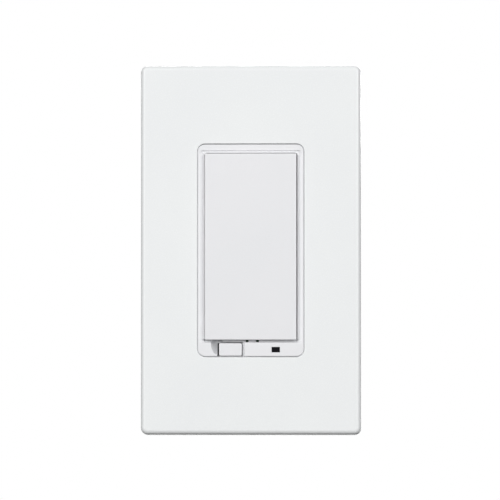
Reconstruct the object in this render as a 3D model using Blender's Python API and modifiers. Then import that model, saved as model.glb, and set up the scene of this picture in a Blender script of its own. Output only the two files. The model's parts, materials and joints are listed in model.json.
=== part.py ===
"""A paddle dimmer switch with its screwless wall plate, modelled piece by piece.

Sizes are in metres. X points right, Z up, and the front faces -Y. The wall is the plane Y = 0, and the
origin is the centre of the plate's opening on that plane, where the device box takes the switch.
"""

import math

import bmesh
import bpy
from mathutils import Matrix, Vector

# Fits shared by many pieces
SEAT_GAP = 0.0002  # between two faces that rest on each other
SLIDE_GAP = 0.0003  # round a piece that slides in a slot
SCREW_GAP = 0.00015  # round a screw's shank in its hole
BOARD_GAP = 0.0005  # from a circuit board's edge to what it fits round

# Opening that decorator switches and their plates share
OPENING_WIDTH = 0.0333
OPENING_HEIGHT = 0.0668
OPENING_CORNER = 0.0025

# Wall plate, the snap cover that shows on the wall
PLATE_SIDE_COVER = 0.0047  # from the strap's fins to the inside of the plate's sides
PLATE_END_COVER = 0.0031  # from the strap's ends to the inside of the plate's ends
PLATE_SCREW_COVER = 0.0003  # in front of the sub-plate's screw heads
PLATE_WALL = 0.0018
PLATE_CORNER = 0.0020
PLATE_EDGE_ROUND = 0.0013
PLATE_DRAFT = 0.0002
COLLAR_WALL = 0.0009  # lip round the opening, on the plate's inside
COLLAR_DEPTH = 0.0012
CATCH_REACH = 0.0011  # catches that hook behind the sub-plate
CATCH_LENGTH = 0.0060
CATCH_THICKNESS = 0.0010
CATCH_PITCH = 0.0360

# Sub-plate, the screwed frame that the wall plate snaps over
SUB_PLATE_THICKNESS = 0.0015
SUB_PLATE_EDGE_GAP = 0.0004
SUB_PLATE_CORNER = 0.0020
SUB_PLATE_RIB = 0.0012
SUB_PLATE_RELIEF_GAP = 0.0004  # round each box screw's head
SUB_PLATE_WEB = 0.00134  # between that hole and the sub-plate's own screw

# Strap, the metal yoke that carries the switch and cools it
STRAP_THICKNESS = 0.0016
STRAP_SIDE_MARGIN = 0.00025  # past the housing's sides
STRAP_CORE_MARGIN = 0.0015  # past the housing's ends
STRAP_END_MARGIN = 0.00299  # past the plate screws' holes
STRAP_SHOULDER = 0.0050  # step in from the core to each ear
STRAP_CORNER = 0.0010
FIN_REACH = 0.0060  # break-off fins beside the core
FIN_INNER_Z = 0.0040
FIN_END = 0.0025  # from the core's end back to the fins
FIN_SLOT_WIDTH = 0.0010
FIN_NECK = 0.0030
BOX_SLOT_LENGTH = 0.0066
BOX_SLOT_END = 0.9  # how round the slot's ends are: 1 is a half circle

# Screws
BOX_SCREW_RADIUS = 0.00175
BOX_SCREW_HEAD = 0.0034
BOX_SCREW_HEAD_HEIGHT = 0.0018
BOX_SCREW_LENGTH = 0.0220
KEEPER_SIDE = 0.0092
KEEPER_CORNER = 0.0009
KEEPER_END_GAP = 0.00207  # from the housing's end to each screw keeper
KEEPER_THICKNESS = 0.0008
PLATE_SCREW_RADIUS = 0.0016
PLATE_SCREW_HEAD = 0.0028
PLATE_SCREW_HEAD_HEIGHT = 0.0009
PLATE_SCREW_LENGTH = 0.0080
HOUSING_SCREW_RADIUS = 0.00125
HOUSING_SCREW_HEAD = 0.0021
HOUSING_SCREW_HEAD_HEIGHT = 0.0016
TERMINAL_SCREW_RADIUS = 0.0017
TERMINAL_SCREW_HEAD = 0.0034
TERMINAL_SCREW_HEAD_HEIGHT = 0.0017
DRIVE_WIDTH = 0.0007
DRIVE_SHARE = 0.62  # length of a screw's cross recess as a share of its head
DRIVE_DEPTH_SHARE = 0.6  # depth of that recess as a share of the head's height
HEAD_RIM_SHARE = 0.6  # height of the head's rim as a share of its middle
TIP_SHARE = 0.3  # chamfer on the shank's tip as a share of its radius

# Bezel, the frame that fills the opening and holds the paddle
BEZEL_GAP = 0.0002
BEZEL_PROUD = 0.0003
BEZEL_EDGE_ROUND = 0.0003
BEZEL_FLOOR_THICKNESS = 0.0012
SIDE_BAND = 0.0017  # bezel's width beside the paddle's recess
TOP_BAND = 0.0024
STRIP_HEIGHT = 0.0045  # the lower strip with the tab and the window
BAND_SLOPE_DEPTH = 0.0007  # how far the side bands roll down towards the paddle
BAND_CURVE = 1.5  # 1 is a straight slope, and more falls steeper near the paddle
BAND_RIM = 0.0004  # flat left beside the plate at the top of that roll
STRIP_RIM = 0.0002
RECESS_CORNER = 0.0008
BOSS_RADIUS = 0.0025
BOSS_SIDE_EDGE = 0.0007  # from each boss to the bezel's side
BOSS_END_EDGE = 0.00045  # from each boss to the bezel's end
BOSS_END = 0.0027  # how far the screw bosses reach behind the wall plane

# Paddle, the rocker that is pressed at its top or bottom
PADDLE_SIDE_GAP = 0.00045
PADDLE_BOTTOM_GAP = 0.00065
PADDLE_PROUD = 0.0014
PADDLE_CROWN = 0.0002
PADDLE_FACE = 0.0014
PADDLE_WALL = 0.0013
PADDLE_EDGE_ROUND = 0.0004
PADDLE_SKIRT_CLEARANCE = 0.0014
PIVOT_STANDOFF = 0.0018
PIVOT_RADIUS = 0.0008
PIVOT_RUNNING_GAP = 0.0001
PIVOT_PIN_LENGTH = 0.0014
PIVOT_EAR = 0.0040
FOOT_END = 0.00925  # from the paddle's end to each foot
FOOT_RADIUS = 0.0018
FOOT_HOLE_GAP = 0.0009
FOOT_TO_BUTTON = 0.00065
PADDLE_RIB = 0.0010
PADDLE_RIB_HEIGHT = 0.0012

# Return springs under the paddle
SPRING_TO_FOOT = 0.0105
SPRING_RADIUS = 0.0019
SPRING_WIRE = 0.00025
SPRING_TURNS = 4
SPRING_SEAT_RADIUS = 0.0012
SPRING_SEAT_HEIGHT = 0.0009

# Catch tongue under the paddle's lower edge, between two slots
TONGUE_X = 0.00045
TONGUE_SLOT_OFFSET = 0.00163
TONGUE_SLOT_WIDTH = 0.0009
TONGUE_SLOT_HEIGHT = 0.00055

# Air-gap tab, pulled out to cut the power
TAB_TO_BOSS = 0.00691  # from the left bosses to the tab
TAB_WIDTH = 0.0072
TAB_SIDE_GAP = 0.0005
TAB_TOP_GAP = 0.0004  # from the paddle's recess
TAB_BOTTOM_GAP = 0.0001  # from the bezel's lower end
TAB_BASE_GAP = 0.0006
TAB_ROUND = 0.0003
TAB_TRAVEL = 0.0030
TAIL_WIDTH = 0.0036
TAIL_HEIGHT = 0.0018
TAIL_STOP_WIDTH = 0.0058
TAIL_STOP_REACH = 0.0006  # above and below the tail
TAIL_STOP_LENGTH = 0.0006
TAIL_PIN_RADIUS = 0.0007
SCOOP_WIDTH = 0.0019
SCOOP_DEPTH = 0.0026
SCOOP_HEIGHT = 0.0033
BRIDGE_OVERHANG = 0.0002
BRIDGE_HEIGHT = 0.0024
BRIDGE_THICKNESS = 0.0008
BRIDGE_CORNER = 0.0005
CONTACT_OFFSET = 0.0020
CONTACT_RADIUS = 0.0009
CONTACT_FOOT = 0.0012
CONTACT_FOOT_THICKNESS = 0.0008

# Indicator window and its light
LENS_TO_BOSS = 0.0054  # from the right bosses to the window
LENS_WIDTH = 0.0025
LENS_HEIGHT = 0.0016
LENS_PROUD = 0.00005
LENS_GAP = 0.00005
LENS_DROP = 0.00015  # below the middle of the lower strip
LED_WIDTH = 0.0016
LED_HEIGHT = 0.0012
LED_THICKNESS = 0.0009

# Circuit boards
BOARD_THICKNESS = 0.0016
BOARD_CORNER = 0.0006
SWITCH_CLEARANCE = 0.0005  # from the strap to the push-button switches
SWITCH_SIDE = 0.0062
SWITCH_HEIGHT = 0.0033
SWITCH_CORNER = 0.0005
BUTTON_RADIUS = 0.00175
BUTTON_REACH = 0.0011  # how far the button stands out of its switch
BUTTON_DEPTH = 0.0021  # how far it goes in
BUTTON_TRAVEL = 0.00025
CHIP_SIDE = 0.0070
CHIP_HEIGHT = 0.0010
CHIP_SIDE_GAP = 0.00515  # from the housing's inner wall
CHIP_END_GAP = 0.0094  # from the lower screw posts' level
RADIO_WIDTH = 0.0120
RADIO_HEIGHT = 0.0160
RADIO_SIDE_GAP = 0.00065
RADIO_END_GAP = 0.0050  # from the upper screw posts' level
RADIO_THICKNESS = 0.0008
SHIELD_MARGIN = 0.0012
SHIELD_HEIGHT = 0.0020
HEADER_WIDTH = 0.0025
HEADER_LENGTH = 0.0127
HEADER_SIDE_GAP = 0.0054
HEADER_END_GAP = 0.00605

# Power parts
TRIAC_SIDE_GAP = 0.00265  # from the housing's inner wall
TRIAC_POST_GAP = 0.0011  # from the screw post above it
TRIAC_WIDTH = 0.0102
TRIAC_TAB_THICKNESS = 0.0013
TRIAC_BODY_THICKNESS = 0.0043
TRIAC_BODY_HEIGHT = 0.0092
TRIAC_HOLE_TO_TOP = 0.0028
TRIAC_HOLE_TO_BODY = 0.0036
TRIAC_LEG_WIDTH = 0.0008
TRIAC_LEG_THICKNESS = 0.0005
TRIAC_LEG_PITCH = 0.00254
TRIAC_LEG_DROP = 0.0030
TRIAC_HOLE_RADIUS = 0.0018
INSULATOR_THICKNESS = 0.00025
INSULATOR_MARGIN = 0.0006
RIVET_RADIUS = 0.0015
RIVET_HEAD = 0.0026
RIVET_TAIL = 0.0023
RIVET_HEAD_HEIGHT = 0.0007
RIVET_HEAD_SLOPE = 0.0008
RIVET_RIM = 0.0003
CHOKE_END_GAP = 0.00345  # from the power board's lower end
CHOKE_OUTER = 0.0074
CHOKE_INNER = 0.0040
CHOKE_HEIGHT = 0.0055
CHOKE_WIRE = 0.00055
CHOKE_WIRE_GAP = 0.00025
CHOKE_TURNS = 9
CHOKE_SPAN_DEG = 310.0
CHOKE_BENDS = (15.0, 75.0)  # where the wire bends round each corner of its ring, in degrees
FILM_SIDE_GAP = 0.00245  # from the board rails
FILM_WIDTH = 0.0060
FILM_LENGTH = 0.0180
FILM_DEPTH = 0.0100
FILM_CORNER = 0.0006
FILTER_SIDE_GAP = 0.00395
FILTER_END_GAP = 0.0019  # from the fuse
FILTER_RADIUS = 0.0040
FILTER_DEPTH = 0.0102
FILTER_GROOVE = 0.0003
SUPPLY_SIDE_GAP = 0.00115
SUPPLY_SIDE = 0.0130
SUPPLY_DEPTH = 0.0096
SUPPLY_CORNER = 0.0008
SURGE_TO_FILM = 0.0040  # from the film capacitor's middle
SURGE_END_GAP = 0.0012  # from the fuse
SURGE_RADIUS = 0.0045
SURGE_THICKNESS = 0.0038
FUSE_END_GAP = 0.0036  # from the power board's upper end
FUSE_RADIUS = 0.0016
FUSE_LENGTH = 0.0090

# Housing behind the strap
HOUSING_SIDE_COVER = 0.0051  # past the opening's sides
HOUSING_END_COVER = 0.0016  # past the opening's ends
HOUSING_BACK_GAP = 0.0007  # behind the tallest part on the power board
HOUSING_WALL = 0.0018
HOUSING_CORNER = 0.0025
HOUSING_ROLL = 0.0012
HOUSING_DRAFT = 0.0003
POST_RADIUS = 0.0033
POST_COUNTERBORE = 0.0085
RAIL_REACH = 0.0012
RAIL_HALF_HEIGHT = 0.0120
POCKET_DEPTH = 0.0036  # side pockets for the wire terminals
POCKET_HALF_HEIGHT = 0.0049
POCKET_WALL = 0.0015
POCKET_PITCH = 0.0140
POCKET_FRONT_WALL = 0.0011  # from the front board's ledge
TERMINAL_INSET = 0.0045  # from the pocket's front to the screw
TERMINAL_TO_BOARD = 0.0045  # from the screw to the power board
TERMINAL_THICKNESS = 0.0008
TERMINAL_MARGIN = 0.0005
TONGUE_WIDTH = 0.0030
CLAMP_THICKNESS = 0.0010
CLAMP_HALF_LENGTH = 0.0036
CLAMP_MARGIN = 0.0009

# Facets
CORNER_STEPS = 5
SMALL_CORNER_STEPS = 2
SMALL_CORNER = 0.0015  # a corner under this radius takes the smaller count
ROLL_STEPS = 3
ROUND_SIDES = 20
SCREW_SIDES = 16
HIDDEN_SIDES = 12
WIRE_POINTS = 8

# Levels along Y, from the front of the paddle back to the housing
STRAP_FRONT = -STRAP_THICKNESS
FRAME_BACK = STRAP_FRONT - SEAT_GAP
SUB_FRONT = FRAME_BACK - SUB_PLATE_THICKNESS
PLATE_INNER = SUB_FRONT - SEAT_GAP - PLATE_SCREW_HEAD_HEIGHT - PLATE_SCREW_COVER
PLATE_FRONT = PLATE_INNER - PLATE_WALL
BEZEL_FRONT = PLATE_FRONT - BEZEL_PROUD
BEZEL_FLOOR = FRAME_BACK - BEZEL_FLOOR_THICKNESS
PADDLE_FRONT = BEZEL_FRONT - PADDLE_PROUD
PADDLE_INNER = PADDLE_FRONT + PADDLE_FACE
PADDLE_SKIRT = BEZEL_FLOOR - PADDLE_SKIRT_CLEARANCE
PIVOT_Y = BEZEL_FLOOR - PIVOT_STANDOFF
SWITCH_FRONT = SWITCH_CLEARANCE
SWITCH_BACK = SWITCH_FRONT + SWITCH_HEIGHT
BUTTON_TIP = SWITCH_FRONT - BUTTON_REACH
FOOT_TIP = BUTTON_TIP - FOOT_TO_BUTTON
FRONT_BOARD_Y = SWITCH_BACK + SEAT_GAP
FRONT_BOARD_BACK = FRONT_BOARD_Y + BOARD_THICKNESS
LEDGE_Y = FRONT_BOARD_BACK + SLIDE_GAP
POCKET_START = LEDGE_Y + POCKET_FRONT_WALL
TERMINAL_Y = POCKET_START + TERMINAL_INSET
POWER_BOARD_Y = TERMINAL_Y + TERMINAL_TO_BOARD
POWER_BOARD_BACK = POWER_BOARD_Y + BOARD_THICKNESS
REAR_SEAT = POWER_BOARD_BACK + SEAT_GAP
CHOKE_COVER = 2 * CHOKE_WIRE + CHOKE_WIRE_GAP  # what the winding adds to each side of its ring
PART_DEPTH = max(FILTER_DEPTH, FILM_DEPTH, SUPPLY_DEPTH, 2 * SURGE_RADIUS, CHOKE_HEIGHT + 2 * CHOKE_COVER)
HOUSING_BACK_INNER = REAR_SEAT + PART_DEPTH + HOUSING_BACK_GAP
HOUSING_BACK = HOUSING_BACK_INNER + HOUSING_WALL

# Places in X: the opening sets the bezel, the housing and the strap, and the strap sets the plate
BEZEL_HALF_X = OPENING_WIDTH / 2 - BEZEL_GAP
RECESS_HALF_X = BEZEL_HALF_X - SIDE_BAND
PADDLE_HALF_X = RECESS_HALF_X - PADDLE_SIDE_GAP
BOSS_X = BEZEL_HALF_X - BOSS_SIDE_EDGE - BOSS_RADIUS
TAB_X = TAB_TO_BOSS - BOSS_X
LENS_X = BOSS_X - LENS_TO_BOSS
HOUSING_HALF_X = OPENING_WIDTH / 2 + HOUSING_SIDE_COVER
CAVITY_HALF_X = HOUSING_HALF_X - HOUSING_WALL
POCKET_FLOOR = HOUSING_HALF_X - POCKET_DEPTH
NARROW_HALF_X = POCKET_FLOOR - POCKET_WALL
RAIL_HALF_X = NARROW_HALF_X - RAIL_REACH
STRAP_HALF_X = HOUSING_HALF_X + STRAP_SIDE_MARGIN
EAR_HALF_X = STRAP_HALF_X - STRAP_SHOULDER
FIN_HALF_X = STRAP_HALF_X + FIN_REACH
PLATE_INNER_X = FIN_HALF_X + PLATE_SIDE_COVER
PLATE_HALF_X = PLATE_INNER_X + PLATE_WALL
BOARD_NECK = BOSS_X - POST_RADIUS - BOARD_GAP
TRIAC_X = CAVITY_HALF_X - TRIAC_SIDE_GAP - TRIAC_WIDTH / 2
RADIO_X = RADIO_SIDE_GAP + RADIO_WIDTH / 2 - NARROW_HALF_X
CHIP_X = CHIP_SIDE_GAP + CHIP_SIDE / 2 - NARROW_HALF_X
HEADER_X = NARROW_HALF_X - HEADER_SIDE_GAP - HEADER_WIDTH / 2
FILM_X = RAIL_HALF_X - FILM_SIDE_GAP - FILM_WIDTH / 2
SURGE_X = FILM_X - SURGE_TO_FILM
FILTER_X = FILTER_SIDE_GAP + FILTER_RADIUS - RAIL_HALF_X
SUPPLY_X = SUPPLY_SIDE_GAP + SUPPLY_SIDE / 2 - RAIL_HALF_X

# Places in Z, in the same order
BEZEL_HALF_Z = OPENING_HEIGHT / 2 - BEZEL_GAP
RECESS_LOW = STRIP_HEIGHT - BEZEL_HALF_Z
RECESS_HIGH = BEZEL_HALF_Z - TOP_BAND
PADDLE_LOW = RECESS_LOW + PADDLE_BOTTOM_GAP
PADDLE_HIGH = RECESS_HIGH - PADDLE_SIDE_GAP
PIVOT_Z = (PADDLE_LOW + PADDLE_HIGH) / 2
FOOT_PLACES = (PADDLE_HIGH - FOOT_END, PADDLE_LOW + FOOT_END)
SPRING_PLACES = (FOOT_PLACES[0] - SPRING_TO_FOOT, FOOT_PLACES[1] + SPRING_TO_FOOT)
STRIP_Z = (RECESS_LOW - BEZEL_HALF_Z) / 2
TAB_LOW = TAB_BOTTOM_GAP - BEZEL_HALF_Z
TAB_HIGH = RECESS_LOW - TAB_TOP_GAP
LENS_Z = STRIP_Z - LENS_DROP
BOSS_Z = BEZEL_HALF_Z - BOSS_END_EDGE - BOSS_RADIUS
HOUSING_HALF_Z = OPENING_HEIGHT / 2 + HOUSING_END_COVER
CAVITY_HALF_Z = HOUSING_HALF_Z - HOUSING_WALL
STRAP_CORE_Z = HOUSING_HALF_Z + STRAP_CORE_MARGIN
FIN_OUTER_Z = STRAP_CORE_Z - FIN_END
BOX_SCREW_Z = HOUSING_HALF_Z + KEEPER_END_GAP + KEEPER_SIDE / 2
RELIEF_RADIUS = BOX_SCREW_HEAD + SUB_PLATE_RELIEF_GAP
PLATE_SCREW_Z = BOX_SCREW_Z + RELIEF_RADIUS + SUB_PLATE_WEB + PLATE_SCREW_RADIUS
STRAP_HALF_Z = PLATE_SCREW_Z + PLATE_SCREW_RADIUS + STRAP_END_MARGIN
PLATE_INNER_Z = STRAP_HALF_Z + PLATE_END_COVER
PLATE_HALF_Z = PLATE_INNER_Z + PLATE_WALL
BOARD_SHOULDER = BOSS_Z - POST_RADIUS - BOARD_GAP
BOARD_END = CAVITY_HALF_Z - BOARD_GAP
TRIAC_HOLE_Z = BOSS_Z - POST_RADIUS - TRIAC_POST_GAP - INSULATOR_MARGIN - TRIAC_HOLE_TO_TOP
RADIO_Z = BOARD_SHOULDER - RADIO_END_GAP - RADIO_HEIGHT / 2
CHIP_Z = CHIP_END_GAP + CHIP_SIDE / 2 - BOARD_SHOULDER
HEADER_Z = HEADER_END_GAP + HEADER_LENGTH / 2 - BOARD_SHOULDER
FUSE_Z = BOARD_END - FUSE_END_GAP - FUSE_RADIUS
SURGE_Z = FUSE_Z - FUSE_RADIUS - SURGE_END_GAP - SURGE_RADIUS
FILTER_Z = FUSE_Z - FUSE_RADIUS - FILTER_END_GAP - FILTER_RADIUS
CHOKE_Z = CHOKE_END_GAP + CHOKE_OUTER + CHOKE_COVER - BOARD_END
SUPPLY_Z = (CHOKE_Z + CHOKE_OUTER + CHOKE_COVER + FILTER_Z - FILTER_RADIUS) / 2

BOSS_PLACES = [(x, z) for x in (-BOSS_X, BOSS_X) for z in (-BOSS_Z, BOSS_Z)]
TERMINALS = {
    "line": (-1, POCKET_PITCH),
    "load": (-1, 0.0),
    "ground": (-1, -POCKET_PITCH),
    "neutral": (1, POCKET_PITCH),
    "traveler": (1, 0.0),
}

# Finishes: base colour, roughness, metallic
FINISHES = {
    "gloss_white": ((0.86, 0.87, 0.87), 0.25, 0.0),
    "satin_white": ((0.83, 0.83, 0.84), 0.40, 0.0),
    "frame_white": ((0.72, 0.72, 0.71), 0.55, 0.0),
    "smoked": ((0.01, 0.01, 0.012), 0.15, 0.0),
    "black": ((0.02, 0.02, 0.022), 0.55, 0.0),
    "aluminium": ((0.62, 0.63, 0.64), 0.40, 1.0),
    "steel": ((0.55, 0.55, 0.54), 0.30, 1.0),
    "spring_steel": ((0.45, 0.45, 0.46), 0.25, 1.0),
    "brass": ((0.72, 0.52, 0.22), 0.30, 1.0),
    "green_steel": ((0.05, 0.32, 0.12), 0.35, 0.6),
    "copper": ((0.62, 0.28, 0.12), 0.30, 1.0),
    "board_green": ((0.02, 0.16, 0.07), 0.45, 0.0),
    "fibre": ((0.55, 0.40, 0.24), 0.85, 0.0),
    "grey_film": ((0.42, 0.44, 0.46), 0.60, 0.0),
    "ferrite": ((0.10, 0.16, 0.12), 0.50, 0.0),
    "film_yellow": ((0.70, 0.52, 0.10), 0.45, 0.0),
    "sleeve_blue": ((0.03, 0.10, 0.32), 0.35, 0.0),
    "ceramic_blue": ((0.05, 0.22, 0.50), 0.45, 0.0),
    "clear": ((0.80, 0.82, 0.80), 0.10, 0.0),
    "sand": ((0.66, 0.60, 0.48), 0.50, 0.0),
}

AXES = {"X": Vector((1, 0, 0)), "Y": Vector((0, 1, 0)), "Z": Vector((0, 0, 1))}


def new_collection(name):
    collection = bpy.data.collections.new(name)
    bpy.context.scene.collection.children.link(collection)
    return collection


def clear_scene():
    for obj in list(bpy.data.objects):
        bpy.data.objects.remove(obj, do_unlink=True)


def material_for(name, finish):
    color, roughness, metallic = FINISHES[finish]
    material = bpy.data.materials.new(name)
    material.use_nodes = True
    shader = material.node_tree.nodes["Principled BSDF"]
    shader.inputs["Base Color"].default_value = (*color, 1.0)
    shader.inputs["Roughness"].default_value = roughness
    shader.inputs["Metallic"].default_value = metallic
    material.diffuse_color = (*color, 1.0)
    return material


def round_edges(shape, axis, radius):
    """Rounds the edges that run along an axis."""
    along = AXES[axis]
    edges = [e for e in shape.edges if abs((e.verts[1].co - e.verts[0].co).normalized().dot(along)) > 0.99]
    steps = SMALL_CORNER_STEPS if radius < SMALL_CORNER else CORNER_STEPS
    bmesh.ops.bevel(shape, geom=edges, offset=radius, segments=steps, profile=0.5, affect="EDGES")


def block(low, high, corner=0.0, axis="Y"):
    """A box between two opposite corners, with the edges along one axis rounded."""
    low, high = Vector(low), Vector(high)
    shape = bmesh.new()
    place = Matrix.Translation((low + high) / 2) @ Matrix.Diagonal((*(high - low), 1.0))
    bmesh.ops.create_cube(shape, size=1.0, matrix=place)
    if corner:
        round_edges(shape, axis, corner)
    return shape


def centred(middle, size, corner=0.0, axis="Y"):
    """A box round a middle point."""
    half = Vector(size) / 2
    return block(Vector(middle) - half, Vector(middle) + half, corner, axis)


def rod(start, end, radius, sides=ROUND_SIDES):
    """A cylinder between two points."""
    start, end = Vector(start), Vector(end)
    turn = AXES["Z"].rotation_difference(end - start).to_matrix().to_4x4()
    shape = bmesh.new()
    bmesh.ops.create_cone(
        shape,
        cap_ends=True,
        segments=sides,
        radius1=radius,
        radius2=radius,
        depth=(end - start).length,
        matrix=Matrix.Translation((start + end) / 2) @ turn,
    )
    return shape


def ellipsoid(middle, radii):
    """A ball with its own radius along each axis."""
    shape = bmesh.new()
    place = Matrix.Translation(middle) @ Matrix.Diagonal((*radii, 1.0))
    bmesh.ops.create_uvsphere(
        shape, u_segments=SCREW_SIDES, v_segments=HIDDEN_SIDES, radius=1.0, matrix=place
    )
    return shape


def prism(outline, axis, start, end, corner=0.0):
    """An outline pushed along an axis: its points are (X, Z) along Y and (Y, Z) along X."""
    shape = bmesh.new()
    if axis == "Y":
        points = [(x, start, z) for x, z in outline]
    else:
        points = [(start, y, z) for y, z in outline]
    face = shape.faces.new([shape.verts.new(point) for point in points])
    pushed = bmesh.ops.extrude_face_region(shape, geom=[face])["geom"]
    verts = [item for item in pushed if isinstance(item, bmesh.types.BMVert)]
    bmesh.ops.translate(shape, verts=verts, vec=AXES[axis] * (end - start))
    bmesh.ops.recalc_face_normals(shape, faces=shape.faces)
    if corner:
        round_edges(shape, axis, corner)
    return shape


def rounded_ring(half_x, low_z, high_z, corner, y):
    """The points of a rounded rectangle in a plane across Y."""
    quarters = (
        (half_x - corner, high_z - corner, 0.0),
        (corner - half_x, high_z - corner, 90.0),
        (corner - half_x, low_z + corner, 180.0),
        (half_x - corner, low_z + corner, 270.0),
    )
    points = []
    for centre_x, centre_z, start in quarters:
        for step in range(CORNER_STEPS + 1):
            angle = math.radians(start + 90.0 * step / CORNER_STEPS)
            points.append((centre_x + corner * math.cos(angle), y, centre_z + corner * math.sin(angle)))
    return points


def loft(rings):
    """A closed skin through a stack of rings that have as many points each."""
    shape = bmesh.new()
    loops = [[shape.verts.new(point) for point in ring] for ring in rings]
    for near, far in zip(loops, loops[1:]):
        for index in range(len(near)):
            after = (index + 1) % len(near)
            shape.faces.new((near[index], near[after], far[after], far[index]))
    shape.faces.new(loops[0])
    shape.faces.new(loops[-1])
    bmesh.ops.recalc_face_normals(shape, faces=shape.faces)
    return shape


def cushion(half_x, low_z, high_z, corner, square_y, rolled_y, roll, draft=0.0):
    """A rounded block with a rolled edge at rolled_y, whose sides draw in by a draft."""
    way = math.copysign(1.0, rolled_y - square_y)
    rings = [rounded_ring(half_x, low_z, high_z, corner, square_y)]
    for step in range(ROLL_STEPS + 1):
        angle = math.radians(90.0 * step / ROLL_STEPS)
        inset = draft + roll * (1.0 - math.cos(angle))
        y = rolled_y - way * roll * (1.0 - math.sin(angle))
        rings.append(rounded_ring(half_x - inset, low_z + inset, high_z - inset, corner - inset, y))
    return loft(rings)


def shade(mesh):
    mesh.shade_smooth()
    mesh.set_sharp_from_angle(angle=math.radians(35))


class Workshop:
    """Makes the named pieces, and the hidden shapes that cut and join them."""

    def __init__(self):
        self.pieces = new_collection("Dimmer switch")
        self.helpers = new_collection("Cutters")

    def piece(self, name, shape, finish, origin=(0.0, 0.0, 0.0)):
        mesh = bpy.data.meshes.new(name)
        bmesh.ops.translate(shape, verts=shape.verts, vec=-Vector(origin))
        shape.to_mesh(mesh)
        shape.free()
        shade(mesh)
        obj = bpy.data.objects.new(name, mesh)
        obj.location = origin
        mesh.materials.append(material_for(name, finish))
        self.pieces.objects.link(obj)
        return obj

    def combine(self, piece, operation, shapes):
        for shape in shapes:
            name = f"{piece.name} {operation.lower()} {len(piece.modifiers) + 1}"
            mesh = bpy.data.meshes.new(name)
            shape.to_mesh(mesh)
            shape.free()
            shade(mesh)
            helper = bpy.data.objects.new(name, mesh)
            helper.hide_render = True
            helper.display_type = "WIRE"
            self.helpers.objects.link(helper)
            modifier = piece.modifiers.new(name, "BOOLEAN")
            modifier.operation = operation
            modifier.solver = "EXACT"
            modifier.object = helper

    def cut(self, piece, *shapes):
        self.combine(piece, "DIFFERENCE", shapes)

    def join(self, piece, *shapes):
        self.combine(piece, "UNION", shapes)

    def turned(self, name, profile, finish, place, direction, sides=ROUND_SIDES):
        """A turned piece: its profile is (radius, height) points from the top down the outer side."""
        mesh = bpy.data.meshes.new(name)
        shape = bmesh.new()
        points = [shape.verts.new((radius, 0.0, height)) for radius, height in profile]
        for first, second in zip(points, points[1:]):
            shape.edges.new((first, second))
        shape.to_mesh(mesh)
        shape.free()
        obj = bpy.data.objects.new(name, mesh)
        obj.location = place
        obj.rotation_euler = AXES["Z"].rotation_difference(Vector(direction)).to_euler()
        mesh.materials.append(material_for(name, finish))
        self.pieces.objects.link(obj)
        screw = obj.modifiers.new("Turn", "SCREW")
        screw.steps = screw.render_steps = sides
        screw.use_merge_vertices = True
        screw.merge_threshold = 0.00001
        screw.use_smooth_shade = True
        return obj

    def screw(self, name, finish, seat, direction, radius, length, head, head_height):
        """A pan-head screw with a cross recess: seat is the middle of the head's underside."""
        dome = []
        for angle in (0.0, math.pi / 4, math.pi / 2):
            level = HEAD_RIM_SHARE + (1.0 - HEAD_RIM_SHARE) * math.cos(angle)
            dome.append((head * math.sin(angle), head_height * level))
        tip = TIP_SHARE * radius
        shank = [(head, 0.0), (radius, 0.0), (radius, tip - length), (radius - tip, -length), (0.0, -length)]
        screw = self.turned(name, dome + shank, finish, seat, direction, SCREW_SIDES)
        reach = head * DRIVE_SHARE
        turn = AXES["Z"].rotation_difference(Vector(direction)).to_matrix().to_4x4()
        recess_middle = head_height * (1.5 - DRIVE_DEPTH_SHARE)
        for size in ((2 * reach, DRIVE_WIDTH), (DRIVE_WIDTH, 2 * reach)):
            recess = centred((0.0, 0.0, recess_middle), (*size, head_height))
            bmesh.ops.transform(recess, matrix=Matrix.Translation(seat) @ turn, verts=recess.verts)
            self.cut(screw, recess)
        return screw

    def wire(self, name, points, radius, finish, origin=(0.0, 0.0, 0.0)):
        """A round wire along a list of points."""
        curve = bpy.data.curves.new(name, "CURVE")
        curve.dimensions = "3D"
        curve.bevel_depth = radius
        curve.bevel_resolution = 1
        curve.use_fill_caps = True
        spline = curve.splines.new("POLY")
        spline.points.add(len(points) - 1)
        for slot, point in zip(spline.points, points):
            slot.co = (*(Vector(point) - Vector(origin)), 1.0)
        obj = bpy.data.objects.new(name, curve)
        obj.location = origin
        curve.materials.append(material_for(name, finish))
        self.pieces.objects.link(obj)
        return obj


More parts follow.
